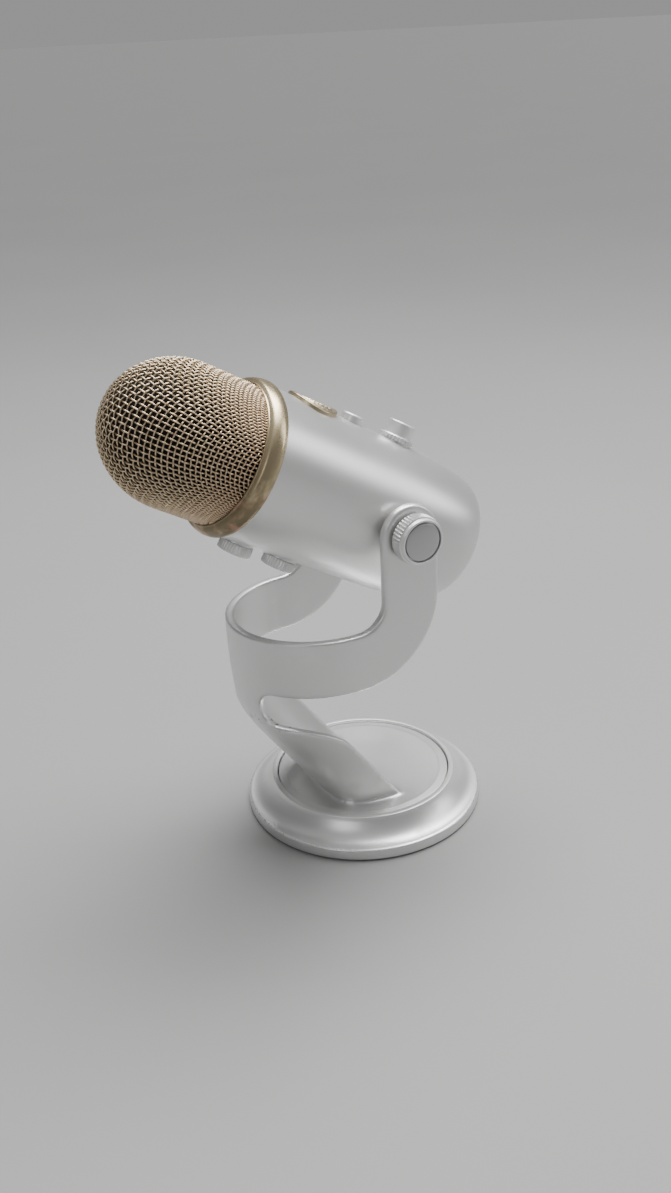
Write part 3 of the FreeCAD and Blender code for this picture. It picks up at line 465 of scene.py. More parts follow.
@dataclass(frozen=True)
class CircuitBoard:
    """Green solder mask with tinned pads and tracks."""

    name: str

    def build(self) -> bpy.types.Material:
        """Make the material."""
        paint = Paint(self.name)
        here = paint.place(upright=True)
        y = paint.parts(here)[1]
        bricks = paint.cells(paint.stretch(here, (0.15, 1.0, 1.0)), 260.0)
        tracks = ((y * 900.0 + paint.noise(here, 90.0, 1.0) * 9.0).wave()).rise(0.55, 0.75)
        pads = bricks.rise(0.26, 0.22)
        colour = paint.mix((0.010, 0.085, 0.040), (0.018, 0.15, 0.065), tracks * 0.8)
        colour = paint.mix(colour, (0.70, 0.69, 0.66), pads)
        normal = paint.relief(tracks * 0.4 + pads, 0.00006, 0.8)
        return paint.finish(colour, 0.30 + pads * 0.08, pads * 0.9, normal)


@dataclass(frozen=True)
class LightGuide:
    """Cloudy clear plastic that a lamp shines through."""

    name: str

    def build(self) -> bpy.types.Material:
        """Make the material."""
        paint = Paint(self.name)
        here = paint.place(upright=True)
        cloud = paint.noise(here, 900.0, 3.0)
        colour = paint.mix((0.42, 0.12, 0.10), (0.62, 0.24, 0.20), cloud)
        normal = paint.relief(cloud, 0.00002, 0.5)
        return paint.finish(colour, 0.22 + cloud * 0.1, 0.0, normal)


# ----------------------------------------------------------------- modelling
def link(name: str, data: bpy.types.ID) -> bpy.types.Object:
    """Put a mesh, curve, lamp or camera in the scene as an object at the origin."""
    made = bpy.data.objects.new(name, data)
    bpy.context.scene.collection.objects.link(made)
    return made


def evaluated(holder: bpy.types.Object) -> bpy.types.Mesh:
    """The mesh an object turns into once its curve or modifiers are worked out."""
    graph = bpy.context.evaluated_depsgraph_get()
    return bpy.data.meshes.new_from_object(holder.evaluated_get(graph))


def look_along(toward: Vector) -> Matrix:
    """The turn of a lamp that shines in a direction."""
    return toward.to_track_quat("-Z", "Y").to_matrix().to_4x4()


def set_smooth(mesh: bpy.types.Mesh, degrees: float) -> None:
    """Shade a mesh smooth, with creases kept sharper than an angle.

    Args:
        mesh: The mesh to shade.
        degrees: Edges that turn more than this stay sharp.
    """
    work = bmesh.new()
    work.from_mesh(mesh)
    limit = math.radians(degrees)
    for face in work.faces:
        face.smooth = True
    for edge in work.edges:
        edge.smooth = not (len(edge.link_faces) == 2 and edge.calc_face_angle() > limit)
    work.to_mesh(mesh)
    work.free()


def close_up(work: bmesh.types.BMesh) -> None:
    """Merge doubles and turn all faces outwards."""
    bmesh.ops.remove_doubles(work, verts=work.verts, dist=WELD)
    bmesh.ops.dissolve_degenerate(work, edges=work.edges, dist=SLIVER)
    bmesh.ops.recalc_face_normals(work, faces=work.faces)


def settle(work: bmesh.types.BMesh, name: str, place: Matrix, crease: float = 32.0) -> bpy.types.Object:
    """Turn a worked mesh into a finished object.

    Args:
        work: The mesh being worked on, in its own frame.
        name: The object's name.
        place: Where the piece goes in the row frame.
        crease: Edges that turn more than this stay sharp, in degrees.

    Returns:
        The new object.
    """
    bmesh.ops.transform(work, matrix=place, verts=work.verts)
    mesh = bpy.data.meshes.new(name)
    work.to_mesh(mesh)
    work.free()
    set_smooth(mesh, crease)
    return link(name, mesh)


@dataclass
class Turned:
    """A piece turned about Z from a half profile in mm.

    A closed profile makes a ring; an open one runs from axis to axis.
    """

    profile: Sequence[Point]
    rounds: dict[int, float] = field(default_factory=dict)
    closed: bool = False
    steps: int = 128
    segments: int = 4

    def build(self) -> bmesh.types.BMesh:
        """Round the chosen corners of the profile, then spin it.

        Returns:
            The closed solid, faces outwards.
        """
        work = bmesh.new()
        verts = [work.verts.new((r * MM, 0.0, z * MM)) for r, z in self.profile]
        for first, second in zip(verts, verts[1:]):
            work.edges.new((first, second))
        if self.closed:
            work.edges.new((verts[-1], verts[0]))
        for index, size in self.rounds.items():
            bmesh.ops.bevel(
                work,
                geom=[verts[index]],
                affect="VERTICES",
                offset=size * MM,
                segments=self.segments,
                profile=0.5,
                material=-1,
            )
        bmesh.ops.spin(
            work,
            geom=work.verts[:] + work.edges[:],
            cent=(0, 0, 0),
            axis=(0, 0, 1),
            dvec=(0, 0, 0),
            angle=math.tau,
            steps=self.steps,
            use_merge=True,
            use_duplicate=False,
        )
        close_up(work)
        return work


@dataclass(frozen=True)
class Ribs:
    """Evenly spaced grooves in a band round the side of a turned piece, in mm.

    Points nearer the axis than inside stay as they are.
    """

    low: float
    high: float
    count: int
    depth: float
    inside: float

    def press(self, work: bmesh.types.BMesh) -> None:
        """Press the grooves into a piece turned about Z."""
        for vert in work.verts:
            reach = math.hypot(vert.co.x, vert.co.y)
            in_band = self.low * MM - WELD <= vert.co.z <= self.high * MM + WELD
            if reach < self.inside * MM or not in_band:
                continue
            turn = math.atan2(vert.co.y, vert.co.x)
            sink = self.depth * MM * (0.5 - 0.5 * math.cos(turn * self.count)) ** RIB_FLATNESS
            share = (reach - sink) / reach
            vert.co.x *= share
            vert.co.y *= share


def dress(piece: bpy.types.Object, body: str, slot: str, material: bpy.types.Material, *nodes: str) -> None:
    """Give a piece its material and body, and hide the nodes it stands for.

    Args:
        piece: The finished piece.
        body: The CAD body it moves with.
        slot: The record's material slot; not used.
        material: Its finish.
        nodes: CAD nodes it replaces.
    """
    piece.data.materials.clear()
    piece.data.materials.append(material)
    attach(piece, body)
    if nodes:
        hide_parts(*nodes)
    LOG.info("%s on %s: %d faces", piece.name, body, len(piece.data.polygons))


def coat(material: bpy.types.Material, *nodes: str) -> None:
    """Give carried-over CAD nodes a finish."""
    for name in nodes:
        slots = frame["nodes"][name].data.materials
        slots.clear()
        slots.append(material)
        LOG.info("%s keeps its CAD shape", name)


def facing(height: float, rear: bool = False) -> Matrix:
    """The place of a control: +Z out of the shell, at a height in mm."""
    turn = Matrix.Rotation(math.radians(-90.0 if rear else 90.0), 4, "Y")
    return MIC @ Matrix.Translation((0.0, 0.0, height * MM)) @ turn


def beside(side: float) -> Matrix:
    """The place of a pivot piece: +Z outwards along the pivot, in the microphone's lean."""
    return MIC @ Matrix.Rotation(math.radians(-90.0 * side), 4, "X")


# ---------------------------------------------------------------------- base
@dataclass
class Base:
    """Weighted round base: coved ring with a lip, and a soft foot."""

    radius: float = 60.0
    rim: float = 6.4
    lip: float = 47.2
    lip_height: float = 16.5
    recess: float = 44.6
    floor: float = 9.3
    floor_bottom: float = 4.5
    hole: float = 12.0
    underside: float = 0.8
    pad_seat: float = 56.4
    pad_top: float = 1.6
    foot: float = 50.0
    cove_steps: int = 14
    cove_power: float = 2.3
    paint: SatinPaint = SatinPaint("base_silver", Region.BASE, PALE_SILVER)

    def cove(self) -> list[Point]:
        """Points down the hollow side, from the lip to the rim's shoulder."""
        top = (self.lip + 0.3, self.lip_height - 1.1)
        foot = (self.radius - 0.75, self.rim + 0.1)
        points = []
        for i in range(self.cove_steps + 1):
            share = i / self.cove_steps
            drop = 1.0 - (1.0 - share) ** self.cove_power
            points.append((top[0] + (foot[0] - top[0]) * share, top[1] + (foot[1] - top[1]) * drop))
        return points

    def ring(self) -> bpy.types.Object:
        """The cast ring."""
        cove = self.cove()
        profile = [(self.hole, self.floor_bottom), (self.hole, self.floor)]
        profile += [(self.recess, self.floor), (self.recess, self.lip_height)]
        profile += [(self.lip, self.lip_height)] + cove
        profile += [(self.radius, self.rim - 0.35), (self.radius, self.underside)]
        profile += [(self.pad_seat, self.underside), (self.pad_seat, self.pad_top)]
        profile += [(self.foot, self.pad_top), (self.foot, self.floor_bottom)]
        count = len(profile)
        rounds = {3: 0.25, 4: 0.35, count - 6: 0.35, count - 5: 0.5}
        work = Turned(profile, rounds, closed=True, steps=192).build()
        return settle(work, "base_ring_cast", Matrix.Identity(4), 40.0)

    def build(self) -> None:
        """Make and dress the base."""
        dress(self.ring(), "stand", "cast_silver", self.paint.build(), "base_ring")
        coat(MouldedPlastic("foot_rubber", (0.018, 0.018, 0.018), 0.7, 900.0, 0.0001).build(), "foot_pad")
        coat(TurnedMetal("screw_zinc", (0.46, 0.46, 0.47)).build(), "base_screws", "end_screws")


# --------------------------------------------------------------------- stand
@dataclass
class Stand:
    """The cast strap with rounded edges, and the disc at its foot."""

    disc_radius: float = 44.1
    disc_top: float = 15.3
    disc_foot: float = 9.3
    cut_height: float = 14.4
    snap_height: float = 15.9
    voxel: float = 0.72
    passes: int = 9
    paint: SatinPaint = SatinPaint("stand_silver", Region.STAND)

    def disc(self) -> bpy.types.Object:
        """The flat disc with a rounded edge."""
        edge = self.disc_radius
        profile = [(0.0, self.disc_foot), (edge, self.disc_foot), (edge, self.disc_top)]
        profile += [(edge * 0.5, self.disc_top), (0.0, self.disc_top)]
        work = Turned(profile, {1: 0.4, 2: 0.55}, steps=160).build()
        return settle(work, "stand_disc", Matrix.Identity(4), 40.0)

    def strap(self) -> bpy.types.Object:
        """The bent strap: evenly remeshed from the casting, with its edges eased."""
        source = frame["nodes"]["yoke_stand"]
        work = bmesh.new()
        work.from_mesh(source.data)
        bmesh.ops.remove_doubles(work, verts=work.verts, dist=STITCH)
        true_form = BVHTree.FromBMesh(work)
        everything = work.verts[:] + work.edges[:] + work.faces[:]
        level = (0.0, 0.0, self.cut_height * MM)
        cut = bmesh.ops.bisect_plane(
            work,
            geom=everything,
            plane_co=level,
            plane_no=(0, 0, 1),
            clear_inner=True,
        )
        rim = [e for e in cut["geom_cut"] if isinstance(e, bmesh.types.BMEdge)]
        bmesh.ops.holes_fill(work, edges=rim, sides=0)
        bmesh.ops.recalc_face_normals(work, faces=work.faces)
        rough = bpy.data.meshes.new("strap_rough")
        work.to_mesh(rough)
        work.free()
        piece = link("stand_strap", rough)
        remesh = piece.modifiers.new("even", "REMESH")
        remesh.mode = "VOXEL"
        remesh.voxel_size = self.voxel * MM
        remesh.adaptivity = 0.0
        even = evaluated(piece)
        piece.modifiers.clear()
        piece.data = even
        bpy.data.meshes.remove(rough)
        work = bmesh.new()
        work.from_mesh(even)
        for vert in work.verts:
            if vert.co.z > self.snap_height * MM:
                vert.co = true_form.find_nearest(vert.co)[0]
        for _ in range(self.passes):
            bmesh.ops.smooth_vert(
                work,
                verts=work.verts,
                factor=0.5,
                use_axis_x=True,
                use_axis_y=True,
                use_axis_z=True,
            )
        bmesh.ops.recalc_face_normals(work, faces=work.faces)
        work.to_mesh(even)
        work.free()
        set_smooth(even, 180.0)
        return piece

    def build(self) -> None:
        """Make and dress the stand."""
        finish = self.paint.build()
        dress(self.strap(), "stand", "stand_silver", finish, "yoke_stand")
        dress(self.disc(), "stand", "stand_silver", finish, "yoke_stand")


# --------------------------------------------------------------------- pivot
@dataclass
class PivotClamp:
    """The two ribbed clamp knobs with their caps, washers and studs."""

    inner: float = 43.2
    outer: float = 51.5
    radius: float = 11.6
    rim_radius: float = 10.5
    rim_start: float = 49.4
    seat_radius: float = 9.45
    cap_radius: float = 8.75
    ribs: int = 44
    rib_depth: float = 1.0

    def knob(self, name: str, side: float) -> bpy.types.Object:
        """One ribbed knob with a smooth narrower rim."""
        profile = [
            (3.95, self.inner),
            (self.radius - 0.6, self.inner),
            (self.radius, self.inner + 0.5),
            (self.radius, self.rim_start - 0.7),
            (self.radius - 0.35, self.rim_start - 0.15),
            (self.rim_radius + 0.15, self.rim_start + 0.1),
            (self.rim_radius, self.outer),
            (self.seat_radius, self.outer),
            (self.seat_radius, self.outer - 2.0),
            (3.95, self.outer - 2.0),
        ]
        work = Turned(profile, {6: 0.42, 7: 0.22}, closed=True, steps=self.ribs * 6).build()
        grooves = Ribs(self.inner + 0.4, self.rim_start - 0.5, self.ribs, self.rib_depth, self.radius - 0.2)
        grooves.press(work)
        return settle(work, name, beside(side), 50.0)

    def cap(self, name: str, side: float) -> bpy.types.Object:
        """One slightly domed cap."""
        top = self.outer + 0.35
        edge = self.cap_radius
        profile = [(0.0, self.outer - 1.9), (edge, self.outer - 1.9), (edge, self.outer - 0.25)]
        profile += [(edge * 0.75, top - 0.34), (edge * 0.5, top - 0.15)]
        profile += [(edge * 0.25, top - 0.04), (0.0, top)]
        work = Turned(profile, {2: 0.4}, steps=96).build()
        return settle(work, name, beside(side), 60.0)

    def build(self) -> None:
        """Make and dress both clamps."""
        knob_paint = SatinPaint("knob_silver", Region.MICROPHONE, PALE_SILVER, 0.60, 0.36).build()
        cap_paint = SatinPaint("cap_grey", Region.MICROPHONE, (0.46, 0.465, 0.465), 0.85, 0.36).build()
        for word, side in (("near", -1.0), ("far", 1.0)):
            body = "pivot_knob_" + word
            dress(self.knob("clamp_knob_" + word, side), body, "knob_silver", knob_paint, body)
            dress(self.cap("clamp_cap_" + word, side), body, "cap_grey", cap_paint, "pivot_cap_" + word)
        nylon = MouldedPlastic("washer_nylon", (0.055, 0.055, 0.055), 0.5).build()
        coat(nylon, "knob_washer_near", "knob_washer_far", "friction_washer_near", "friction_washer_far")
        steel = TurnedMetal("stud_steel", (0.50, 0.50, 0.51))
        coat(steel.build(), "pivot_stud_near", "pivot_stud_far")
        brass = TurnedMetal("insert_brass", (0.40, 0.33, 0.20), rough=0.42)
        coat(brass.build(), "pivot_insert_near", "pivot_insert_far")


# --------------------------------------------------------------------- shell
@dataclass
class Shell:
    """The painted housing, its plated collar, its badge and its end plate."""

    radius: float = 35.0
    top: float = 72.3
    collar_top: float = 81.5
    collar_radius: float = 36.5
    grille_radius: float = 32.6
    badge_height: float = 49.5
    badge_radius: float = 12.0
    badge_proud: float = 2.0

    def collar(self) -> bpy.types.Object:
        """The plated collar: a stepped foot, a full round band and a thin front rim."""
        foot = self.top + 0.1
        profile = [
            (self.grille_radius + 0.1, 74.6),
            (self.grille_radius + 0.1, self.collar_top),
            (self.grille_radius + 0.8, self.collar_top),
            (self.grille_radius + 1.0, self.collar_top - 0.6),
            (self.collar_radius - 1.3, self.collar_top - 1.5),
            (self.collar_radius - 0.4, self.collar_top - 3.4),
            (self.collar_radius, self.collar_top - 5.4),
            (self.collar_radius, foot + 2.2),
            (self.collar_radius - 0.25, foot + 1.3),
            (self.radius + 0.6, foot + 1.15),
            (self.radius + 0.45, foot),
            (32.5, foot),
            (32.5, 69.0),
            (31.1, 69.0),
            (31.1, 74.6),
        ]
        rounds = {2: 0.3, 4: 0.6, 5: 1.0, 6: 0.9, 7: 0.5, 8: 0.2, 9: 0.12, 10: 0.18}
        work = Turned(profile, rounds, closed=True, steps=160).build()
        return settle(work, "collar_band", MIC, 38.0)

    def badge(self) -> bpy.types.Object:
        """A plain round badge with a rim and rings, bent to the shell."""
        edge = self.badge_radius
        profile = [(0.0, -0.6), (edge, -0.6), (edge, 1.6), (edge - 0.9, self.badge_proud), (edge - 1.7, 1.35)]
        for i in range(4):
            ring = edge - 2.7 - 2.1 * i
            profile += [(ring, 1.05), (ring - 0.55, 1.65), (ring - 1.1, 1.05)]
        profile += [(0.9, 1.5), (0.0, 1.7)]
        work = Turned(profile, {2: 0.25, 3: 0.3}, steps=96).build()
        for vert in work.verts:
            turn = math.atan2(vert.co.y, vert.co.x)
            reach = math.hypot(vert.co.x, vert.co.y) / MM
            if 1.5 < reach < edge - 2.0 and vert.co.z > 0.0:
                vert.co.z += 0.22 * MM * math.cos(turn * 12.0)
            across = vert.co.y / MM
            vert.co.z += (math.sqrt(self.radius**2 - across**2)) * MM
        return settle(work, "badge", facing(self.badge_height), 30.0)

    def build(self) -> None:
        """Make and dress the shell."""
        body = SatinPaint("body_silver", Region.MICROPHONE).build()
        coat(body, "body_shell")
        plate = ChampagnePlate("collar_gold")
        dress(self.collar(), "microphone", "collar_gold", plate.build(), "collar_ring")
        gold = ChampagnePlate("badge_gold", (0.60, 0.51, 0.35), 0.9, 0.28)
        dress(self.badge(), "microphone", "emblem_gold", gold.build(), "emblem")
        coat(SatinPaint("end_paint", Region.MICROPHONE, (0.66, 0.66, 0.655)).build(), "end_plate")
        thread = TurnedMetal("thread_brass", (0.62, 0.46, 0.20), thread=0.00094)
        coat(thread.build(), "thread_insert")


# -------------------------------------------------------------------- grille
@dataclass
class Grille:
    """Square-woven wire mesh, drawn over a domed form and let into the collar."""

    radius: float = 32.05
    dome_start: float = 104.0
    dome_height: float = 34.8
    foot: float = 75.2
    pitch: float = 2.25
    wire: float = 0.37
    crimp: float = 0.38
    half_count: int = 42
    rounds: int = 500
    samples: int = 4
    least_corner: float = 26.0
    straighten: float = 0.12

    def to_surface(self, points: np.ndarray) -> np.ndarray:
        """Move points onto the domed form.

        Args:
            points: Positions in mm, one row each.

        Returns:
            The nearest positions on the form, near enough.
        """
        out = points.copy()
        high = out[..., 2] > self.dome_start
        scaled = out - np.array([0.0, 0.0, self.dome_start])
        ratio = np.linalg.norm(scaled / np.array([self.radius, self.radius, self.dome_height]), axis=-1)
        dome = scaled / np.maximum(ratio, 1e-9)[..., None] + np.array([0.0, 0.0, self.dome_start])
        reach = np.maximum(np.hypot(out[..., 0], out[..., 1]), 1e-9)
        wall = out * np.stack([self.radius / reach, self.radius / reach, np.ones_like(reach)], axis=-1)
        return np.where(high[..., None], dome, wall)

    def outwards(self, points: np.ndarray) -> np.ndarray:
        """Unit normals of the form at points on it."""
        up = np.maximum(points[..., 2] - self.dome_start, 0.0) / self.dome_height**2
        normal = np.stack([points[..., 0] / self.radius**2, points[..., 1] / self.radius**2, up], axis=-1)
        return normal / np.linalg.norm(normal, axis=-1, keepdims=True)

    def first_guess(self) -> np.ndarray:
        """Spread the flat net over the form, roughly as drawn mesh lies.

        Close to the four main wires the cells stay square; between them they lean into diamonds.

        Returns:
            The crossings, as a square table of positions in mm.
        """
        steps = np.arange(-self.half_count, self.half_count + 1) * self.pitch
        flat_x, flat_y = np.meshgrid(steps, steps, indexing="ij")
        far = np.maximum(np.abs(flat_x), np.abs(flat_y))
        side = np.minimum(np.abs(flat_x), np.abs(flat_y))
        eighth = 0.25 * math.pi * self.radius
        spread = np.maximum(1.0 - np.exp(-far / eighth), 1e-6)
        gathered = 0.25 * math.pi * (1.0 - np.exp(-side / eighth)) / spread
        turn = self.ease(far / (1.2 * self.radius), np.arctan2(side, np.maximum(far, 1e-9)), gathered)
        strip = np.linspace(0.0, self.half_count * self.pitch, 400)
        middle = 0.5 * (strip[1:] + strip[:-1])
        slide = np.concatenate([[0.0], np.cumsum(np.sqrt(1.0 - np.exp(-2.0 * middle / eighth)) * strip[1])])
        dome_arc = 0.5 * math.pi * math.sqrt(0.5 * (self.radius**2 + self.dome_height**2))
        straight = np.hypot(flat_x, flat_y)
        travel = self.ease(straight / (1.6 * dome_arc), straight, far + np.interp(side, strip, slide))
        turn = np.where(np.abs(flat_x) >= np.abs(flat_y), turn, 0.5 * math.pi - turn)
        turn = np.where(flat_y < 0.0, -turn, turn)
        turn = np.where(flat_x < 0.0, math.pi - turn, turn)
        angle = np.minimum(travel / dome_arc, 1.0) * 0.5 * math.pi
        reach = self.radius * np.sin(angle)
        height = self.dome_start + self.dome_height * np.cos(angle) - np.maximum(travel - dome_arc, 0.0)
        return self.to_surface(np.stack([reach * np.cos(turn), reach * np.sin(turn), height], axis=-1))

    @staticmethod
    def ease(share: np.ndarray, near: np.ndarray, far: np.ndarray) -> np.ndarray:
        """Pass smoothly from one table to another as share goes from 0 to 1."""
        share = np.clip(share, 0.0, 1.0)
        share = share * share * (3.0 - 2.0 * share)
        return near * (1.0 - share) + far * share

    def drape(self) -> np.ndarray:
        """Let the wires of the net keep their spacing, their corners and their straightness.

        Returns:
            The crossings, as a square table of positions in mm.
        """
        net = self.first_guess()
        corner = 0.5 * math.radians(self.least_corner)
        least, most = 2.0 * self.pitch * math.sin(corner), 2.0 * self.pitch * math.cos(corner)
        links = (
            ((1, 0), self.pitch, self.pitch, 0.5),
            ((0, 1), self.pitch, self.pitch, 0.5),
            ((1, 1), least, most, 0.3),
            ((1, -1), least, most, 0.3),
        )
        for _ in range(self.rounds):
            move = np.zeros_like(net)
            for (di, dj), low, high, stiff in links:
                a, b = self.pairs(di, dj)
                gap = net[b] - net[a]
                length = np.linalg.norm(gap, axis=-1, keepdims=True)
                pull = gap * (0.4 * stiff * (length - np.clip(length, low, high)) / np.maximum(length, 1e-9))
                move[a] += pull
                move[b] -= pull
            move[1:-1] += self.straighten * (0.5 * (net[2:] + net[:-2]) - net[1:-1])
            move[:, 1:-1] += self.straighten * (0.5 * (net[:, 2:] + net[:, :-2]) - net[:, 1:-1])
            net = self.to_surface(net + move)
        return net

    def pairs(self, di: int, dj: int) -> tuple[tuple, tuple]:
        """Slices that pair each crossing with its neighbour."""
        size = 2 * self.half_count + 1
        first = (slice(0, size - di), slice(0, size - dj) if dj >= 0 else slice(-dj, size))
        second = (slice(di, size), slice(dj, size) if dj >= 0 else slice(0, size + dj))
        return first, second

    def threads(self, net: np.ndarray, flip: float) -> list[np.ndarray]:
        """Follow each wire of one direction over and under its crossings.

        Args:
            net: The crossings, wires of this direction along the second index.
            flip: 1 or -1, which lot of crossings this direction passes over.

        Returns:
            One line of points in mm for each stretch of wire.
        """
        lines: list[np.ndarray] = []
        size = net.shape[0]
        for i in range(size):
            row = net[i]
            sign = flip * np.where((i + np.arange(size)) % 2 == 0, 1.0, -1.0)
            fine: list[np.ndarray] = []
            for j in range(size - 1):
                before = row[max(j - 1, 0)]
                after = row[min(j + 2, size - 1)]
                for k in range(self.samples):
                    t = k / self.samples
                    point = self.between(before, row[j], row[j + 1], after, t)
                    lift = self.crimp * sign[j] * math.cos(math.pi * t)
                    fine.append(np.append(point, lift))
            table = np.array(fine)
            surface = self.to_surface(table[:, :3])
            table = np.concatenate([surface + self.outwards(surface) * table[:, 3:], surface[:, 2:3]], axis=1)
            lines.extend(self.trimmed(table))
        return lines

    @staticmethod
    def between(p0: np.ndarray, p1: np.ndarray, p2: np.ndarray, p3: np.ndarray, t: float) -> np.ndarray:
        """Point on the smooth curve through four crossings."""
        a = 2.0 * p1
        b = p2 - p0
        c = 2.0 * p0 - 5.0 * p1 + 4.0 * p2 - p3
        d = -p0 + 3.0 * p1 - 3.0 * p2 + p3
        return 0.5 * (a + b * t + c * t * t + d * t**3)

    def trimmed(self, table: np.ndarray) -> Iterable[np.ndarray]:
        """Cut a line off where it passes down into the collar."""
        run: list[np.ndarray] = []
        for i, row in enumerate(table):
            if row[3] >= self.foot:
                if not run and i > 0 and table[i - 1][3] < self.foot:
                    run.append(self.crossing(table[i - 1], row))
                run.append(row[:3])
            elif run:
                run.append(self.crossing(row, table[i - 1]))
                if len(run) > 3:
                    yield np.array(run)
                run = []
        if len(run) > 3:
            yield np.array(run)

    def crossing(self, low: np.ndarray, high: np.ndarray) -> np.ndarray:
        """Where the line between two points meets the foot of the mesh."""
        share = (self.foot - low[3]) / max(high[3] - low[3], 1e-9)
        return low[:3] + (high[:3] - low[:3]) * share

    def wires(self, name: str, lines: list[np.ndarray]) -> bpy.types.Object:
        """Turn lines of points into round wires."""
        curve = bpy.data.curves.new(name, "CURVE")
        curve.dimensions = "3D"
        curve.bevel_depth = self.wire * MM
        curve.bevel_resolution = 1
        curve.use_fill_caps = True
        for line in lines:
            spline = curve.splines.new("POLY")
            spline.points.add(len(line) - 1)
            placed = [MIC @ Vector(point * MM) for point in line]
            spline.points.foreach_set("co", [c for point in placed for c in (*point, 1.0)])
        holder = link(name + "_curve", curve)
        mesh = evaluated(holder)
        bpy.data.objects.remove(holder)
        bpy.data.curves.remove(curve)
        mesh.name = name
        set_smooth(mesh, 70.0)
        return link(name, mesh)

    def build(self) -> None:
        """Weave, make and dress the mesh and its lining."""
        net = self.drape()
        finish = GrilleWire("grille_wire").build()
        for word, table, flip in (("warp", net, 1.0), ("weft", np.swapaxes(net, 0, 1), -1.0)):
            lines = self.threads(table, flip)
            half = len(lines) // 2
            for side, run in (("front", lines[half:]), ("back", lines[:half])):
                wires = self.wires(f"grille_{word}_{side}", run)
                dress(wires, "microphone", "grille_gold", finish, "grille_mesh")
        coat(AcousticCloth("liner_cloth").build(), "grille_liner")


# ------------------------------------------------------------------ controls
@dataclass
class Controls:
    """Volume knob, mute button and the two rear knobs."""

    volume: float = 0.0
    mute: float = 27.0
    gain: float = 56.5
    pattern: float = 32.0

    def volume_knob(self) -> bpy.types.Object:
        """A smooth tapered cap standing on a ribbed skirt."""
        profile = [(2.95, 35.3), (8.4, 35.3), (8.4, 36.9), (7.9, 37.4), (7.15, 37.55), (6.95, 37.9)]
        profile += [(6.6, 44.3), (3.5, 44.3), (0.0, 44.35), (0.0, 42.3), (2.95, 42.3)]
        work = Turned(profile, {3: 0.2, 6: 1.0}, closed=True, steps=180, segments=6).build()
        Ribs(35.2, 37.0, count=30, depth=0.55, inside=7.95).press(work)
        return settle(work, "volume_cap", facing(self.volume), 50.0)

    def mute_button(self) -> bpy.types.Object:
        """A round push button with an eased top and a flange inside."""
        profile = [(1.1, 29.6), (6.1, 29.6), (6.1, 30.8), (5.2, 30.8), (5.2, 38.4), (2.6, 38.6)]
        profile += [(1.1, 38.6)]
        work = Turned(profile, {4: 1.0, 6: 0.15}, closed=True, steps=96, segments=6).build()
        return settle(work, "mute_cap", facing(self.mute), 45.0)

    def rear_knob(self, name: str, height: float) -> bpy.types.Object:
        """A low knob with a finely ribbed side and a flat end."""
        profile = [(2.95, 35.3), (7.6, 35.3), (8.0, 35.6), (8.0, 39.6), (7.5, 40.1), (6.6, 40.2)]
        profile += [(3.0, 40.1), (0.0, 40.1), (0.0, 38.7), (2.95, 38.7)]
        work = Turned(profile, {4: 0.15}, closed=True, steps=216).build()
        Ribs(35.5, 39.7, count=36, depth=0.45, inside=7.7).press(work)
        return settle(work, name, facing(height, rear=True), 50.0)

    def build(self) -> None:
        """Make and dress the controls."""
        paint = SatinPaint("control_silver", Region.MICROPHONE, PALE_SILVER, 0.60, 0.36).build()
        dress(self.volume_knob(), "volume_knob", "knob_silver", paint, "volume_knob")
        dress(self.mute_button(), "mute_button", "knob_silver", paint, "mute_button")
        for word, height in (("gain", self.gain), ("pattern", self.pattern)):
            body = word + "_knob"
            dress(self.rear_knob(word + "_dial", height), body, "knob_silver", paint, body)
        coat(LightGuide("light_guide").build(), "mute_light")


# ------------------------------------------------------------------ innards
@dataclass
class Innards:
    """What the shell and grille hold."""

    def build(self) -> None:
        """Give every inner CAD node its finish."""
        plastic = MouldedPlastic("inner_plastic", (0.022, 0.022, 0.023), 0.5)
        coat(plastic.build(), "capsule_deck", "capsule_tower", "headphone_jack", "mute_switch")
        coat(TurnedMetal("chassis_zinc", (0.52, 0.52, 0.53), rough=0.38).build(), "chassis_frame")
        nickel = TurnedMetal("capsule_nickel", (0.60, 0.57, 0.50), rough=0.24)
        coat(nickel.build(), "capsule_front", "capsule_left", "capsule_right")
        coat(CircuitBoard("circuit_board").build(), "main_board", "front_board", "rear_board")
        tin = TurnedMetal("socket_tin", (0.62, 0.62, 0.63), rough=0.26)
        coat(tin.build(), "usb_socket", "volume_pot", "gain_pot", "pattern_switch")
        shaft = TurnedMetal("shaft_steel", (0.55, 0.55, 0.56), rough=0.22)
        coat(shaft.build(), "volume_shaft", "gain_shaft", "pattern_shaft")


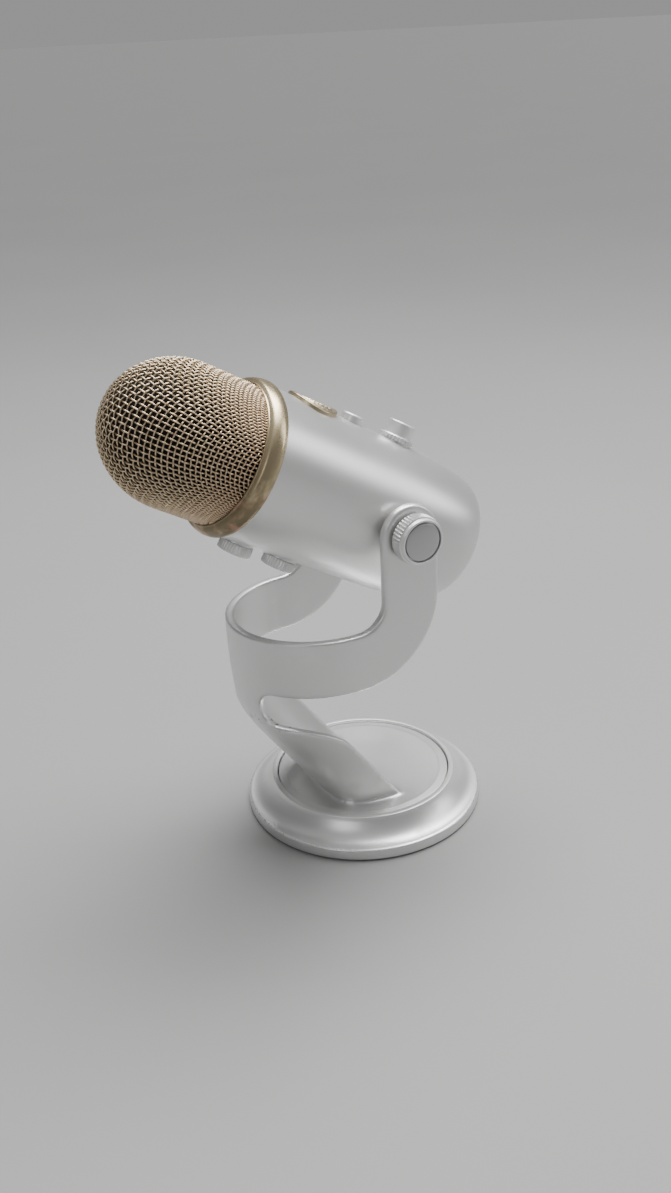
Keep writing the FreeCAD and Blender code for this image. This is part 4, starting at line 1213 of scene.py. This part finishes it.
# -------------------------------------------------------------------- studio
@dataclass
class Studio:
    """Pale floor, soft lights and the camera."""

    eye: Triple = (-0.2593, -0.4620, 0.3643)
    yaw: float = -28.24
    pitch: float = 25.29
    roll: float = -2.88
    focal: float = 1200.0
    frame_height: float = 1193.0
    film: float = 36.0
    horizon: float = 0.32
    wall: float = 0.18
    ceiling: float = 0.55
    floor_size: float = 150.0

    def sun(self) -> None:
        """A broad even light from high on the right."""
        data = bpy.data.lights.new("window", "SUN")
        data.energy = 2.5
        data.angle = math.radians(50.0)
        link("window", data).matrix_world = look_along(Vector((-0.45, -0.12, -1.0)))

    def camera(self) -> None:
        """The camera at its measured place."""
        yaw, pitch, roll = (math.radians(a) for a in (self.yaw, self.pitch, self.roll))
        back = Vector((math.sin(yaw) * math.cos(pitch), -math.cos(yaw) * math.cos(pitch), math.sin(pitch)))
        right = Vector((0.0, 0.0, 1.0)).cross(back).normalized()
        up = back.cross(right)
        level = (math.cos(roll) * right + math.sin(roll) * up, math.cos(roll) * up - math.sin(roll) * right)
        data = bpy.data.cameras.new("studio_camera")
        data.sensor_fit = "VERTICAL"
        data.sensor_height = self.film
        data.lens = self.focal * self.film / self.frame_height
        data.clip_start = 0.01
        data.clip_end = 400.0
        camera = link("studio_camera", data)
        turn = Matrix((level[0], level[1], back)).transposed().to_4x4()
        camera.matrix_world = Matrix.Translation(self.eye) @ turn
        bpy.context.scene.camera = camera

    @staticmethod
    def lamp(name: str, place: Sequence[float], aim: Sequence[float], size: Point, power: float) -> None:
        """One soft box.

        Args:
            name: The lamp's name.
            place: Where it stands.
            aim: The point it faces.
            size: Width and height, in metres.
            power: Watts.
        """
        data = bpy.data.lights.new(name, "AREA")
        data.shape = "RECTANGLE"
        data.size, data.size_y = size
        data.energy = power
        toward = (Vector(aim) - Vector(place)).normalized()
        link(name, data).matrix_world = Matrix.Translation(place) @ look_along(toward)

    def floor(self) -> None:
        """A wide pale floor."""
        work = bmesh.new()
        bmesh.ops.create_grid(work, x_segments=2, y_segments=2, size=self.floor_size)
        floor = settle(work, "floor", Matrix.Identity(4))
        paint = Paint("pale_floor")
        here = paint.place()
        cloud = paint.noise(here, 3.0, 3.0)
        grain = paint.noise(here, 900.0, 2.0)
        colour = paint.mix((0.29, 0.29, 0.29), (0.32, 0.32, 0.316), cloud)
        normal = paint.relief(grain, 0.00005, 0.3)
        floor.data.materials.append(paint.finish(colour, 0.55 + cloud * 0.1, 0.0, normal))

    def sky(self) -> None:
        """Surrounding light: pale at the horizon, dim above it, bright overhead."""
        world = bpy.data.worlds.new("studio")
        bpy.context.scene.world = world
        world.use_nodes = True
        tree = world.node_tree
        back = next(n for n in tree.nodes if n.type == "BACKGROUND")
        where = tree.nodes.new("ShaderNodeTexCoord")
        split = tree.nodes.new("ShaderNodeSeparateXYZ")
        ramp = tree.nodes.new("ShaderNodeValToRGB")
        stops = [(0.0, self.horizon), (0.06, self.horizon)]
        stops += [(0.30, self.wall), (0.62, self.wall), (1.0, self.ceiling)]
        while len(ramp.color_ramp.elements) < len(stops):
            ramp.color_ramp.elements.new(1.0)
        for element, (position, level) in zip(ramp.color_ramp.elements, stops):
            element.position = position
            element.color = (level, level, level, 1.0)
        tree.links.new(where.outputs["Generated"], split.inputs[0])
        tree.links.new(split.outputs["Z"], ramp.inputs[0])
        tree.links.new(ramp.outputs[0], back.inputs["Color"])
        back.inputs["Strength"].default_value = 1.0

    def build(self) -> None:
        """Set up the studio."""
        self.camera()
        self.floor()
        self.sky()
        self.sun()
        self.lamp("overhead", (0.25, 0.30, 1.15), (-0.02, 0.0, 0.12), (0.9, 0.5), 17.0)
        self.lamp("front_left", (-1.15, -0.85, 0.85), (-0.02, 0.0, 0.14), (0.6, 0.6), 2.5)
        self.lamp("right", (1.2, -0.55, 0.75), (0.0, 0.0, 0.14), (0.5, 0.9), 5.0)


def main() -> None:
    """Build every sub-assembly in order, then update the view layer."""
    logging.basicConfig(level=logging.INFO, format="%(name)s: %(message)s")
    Studio().build()
    for assembly in (Base(), Stand(), PivotClamp(), Shell(), Grille(), Controls(), Innards()):
        assembly.build()
    bpy.context.view_layer.update()


if __name__ == "__main__":
    main()
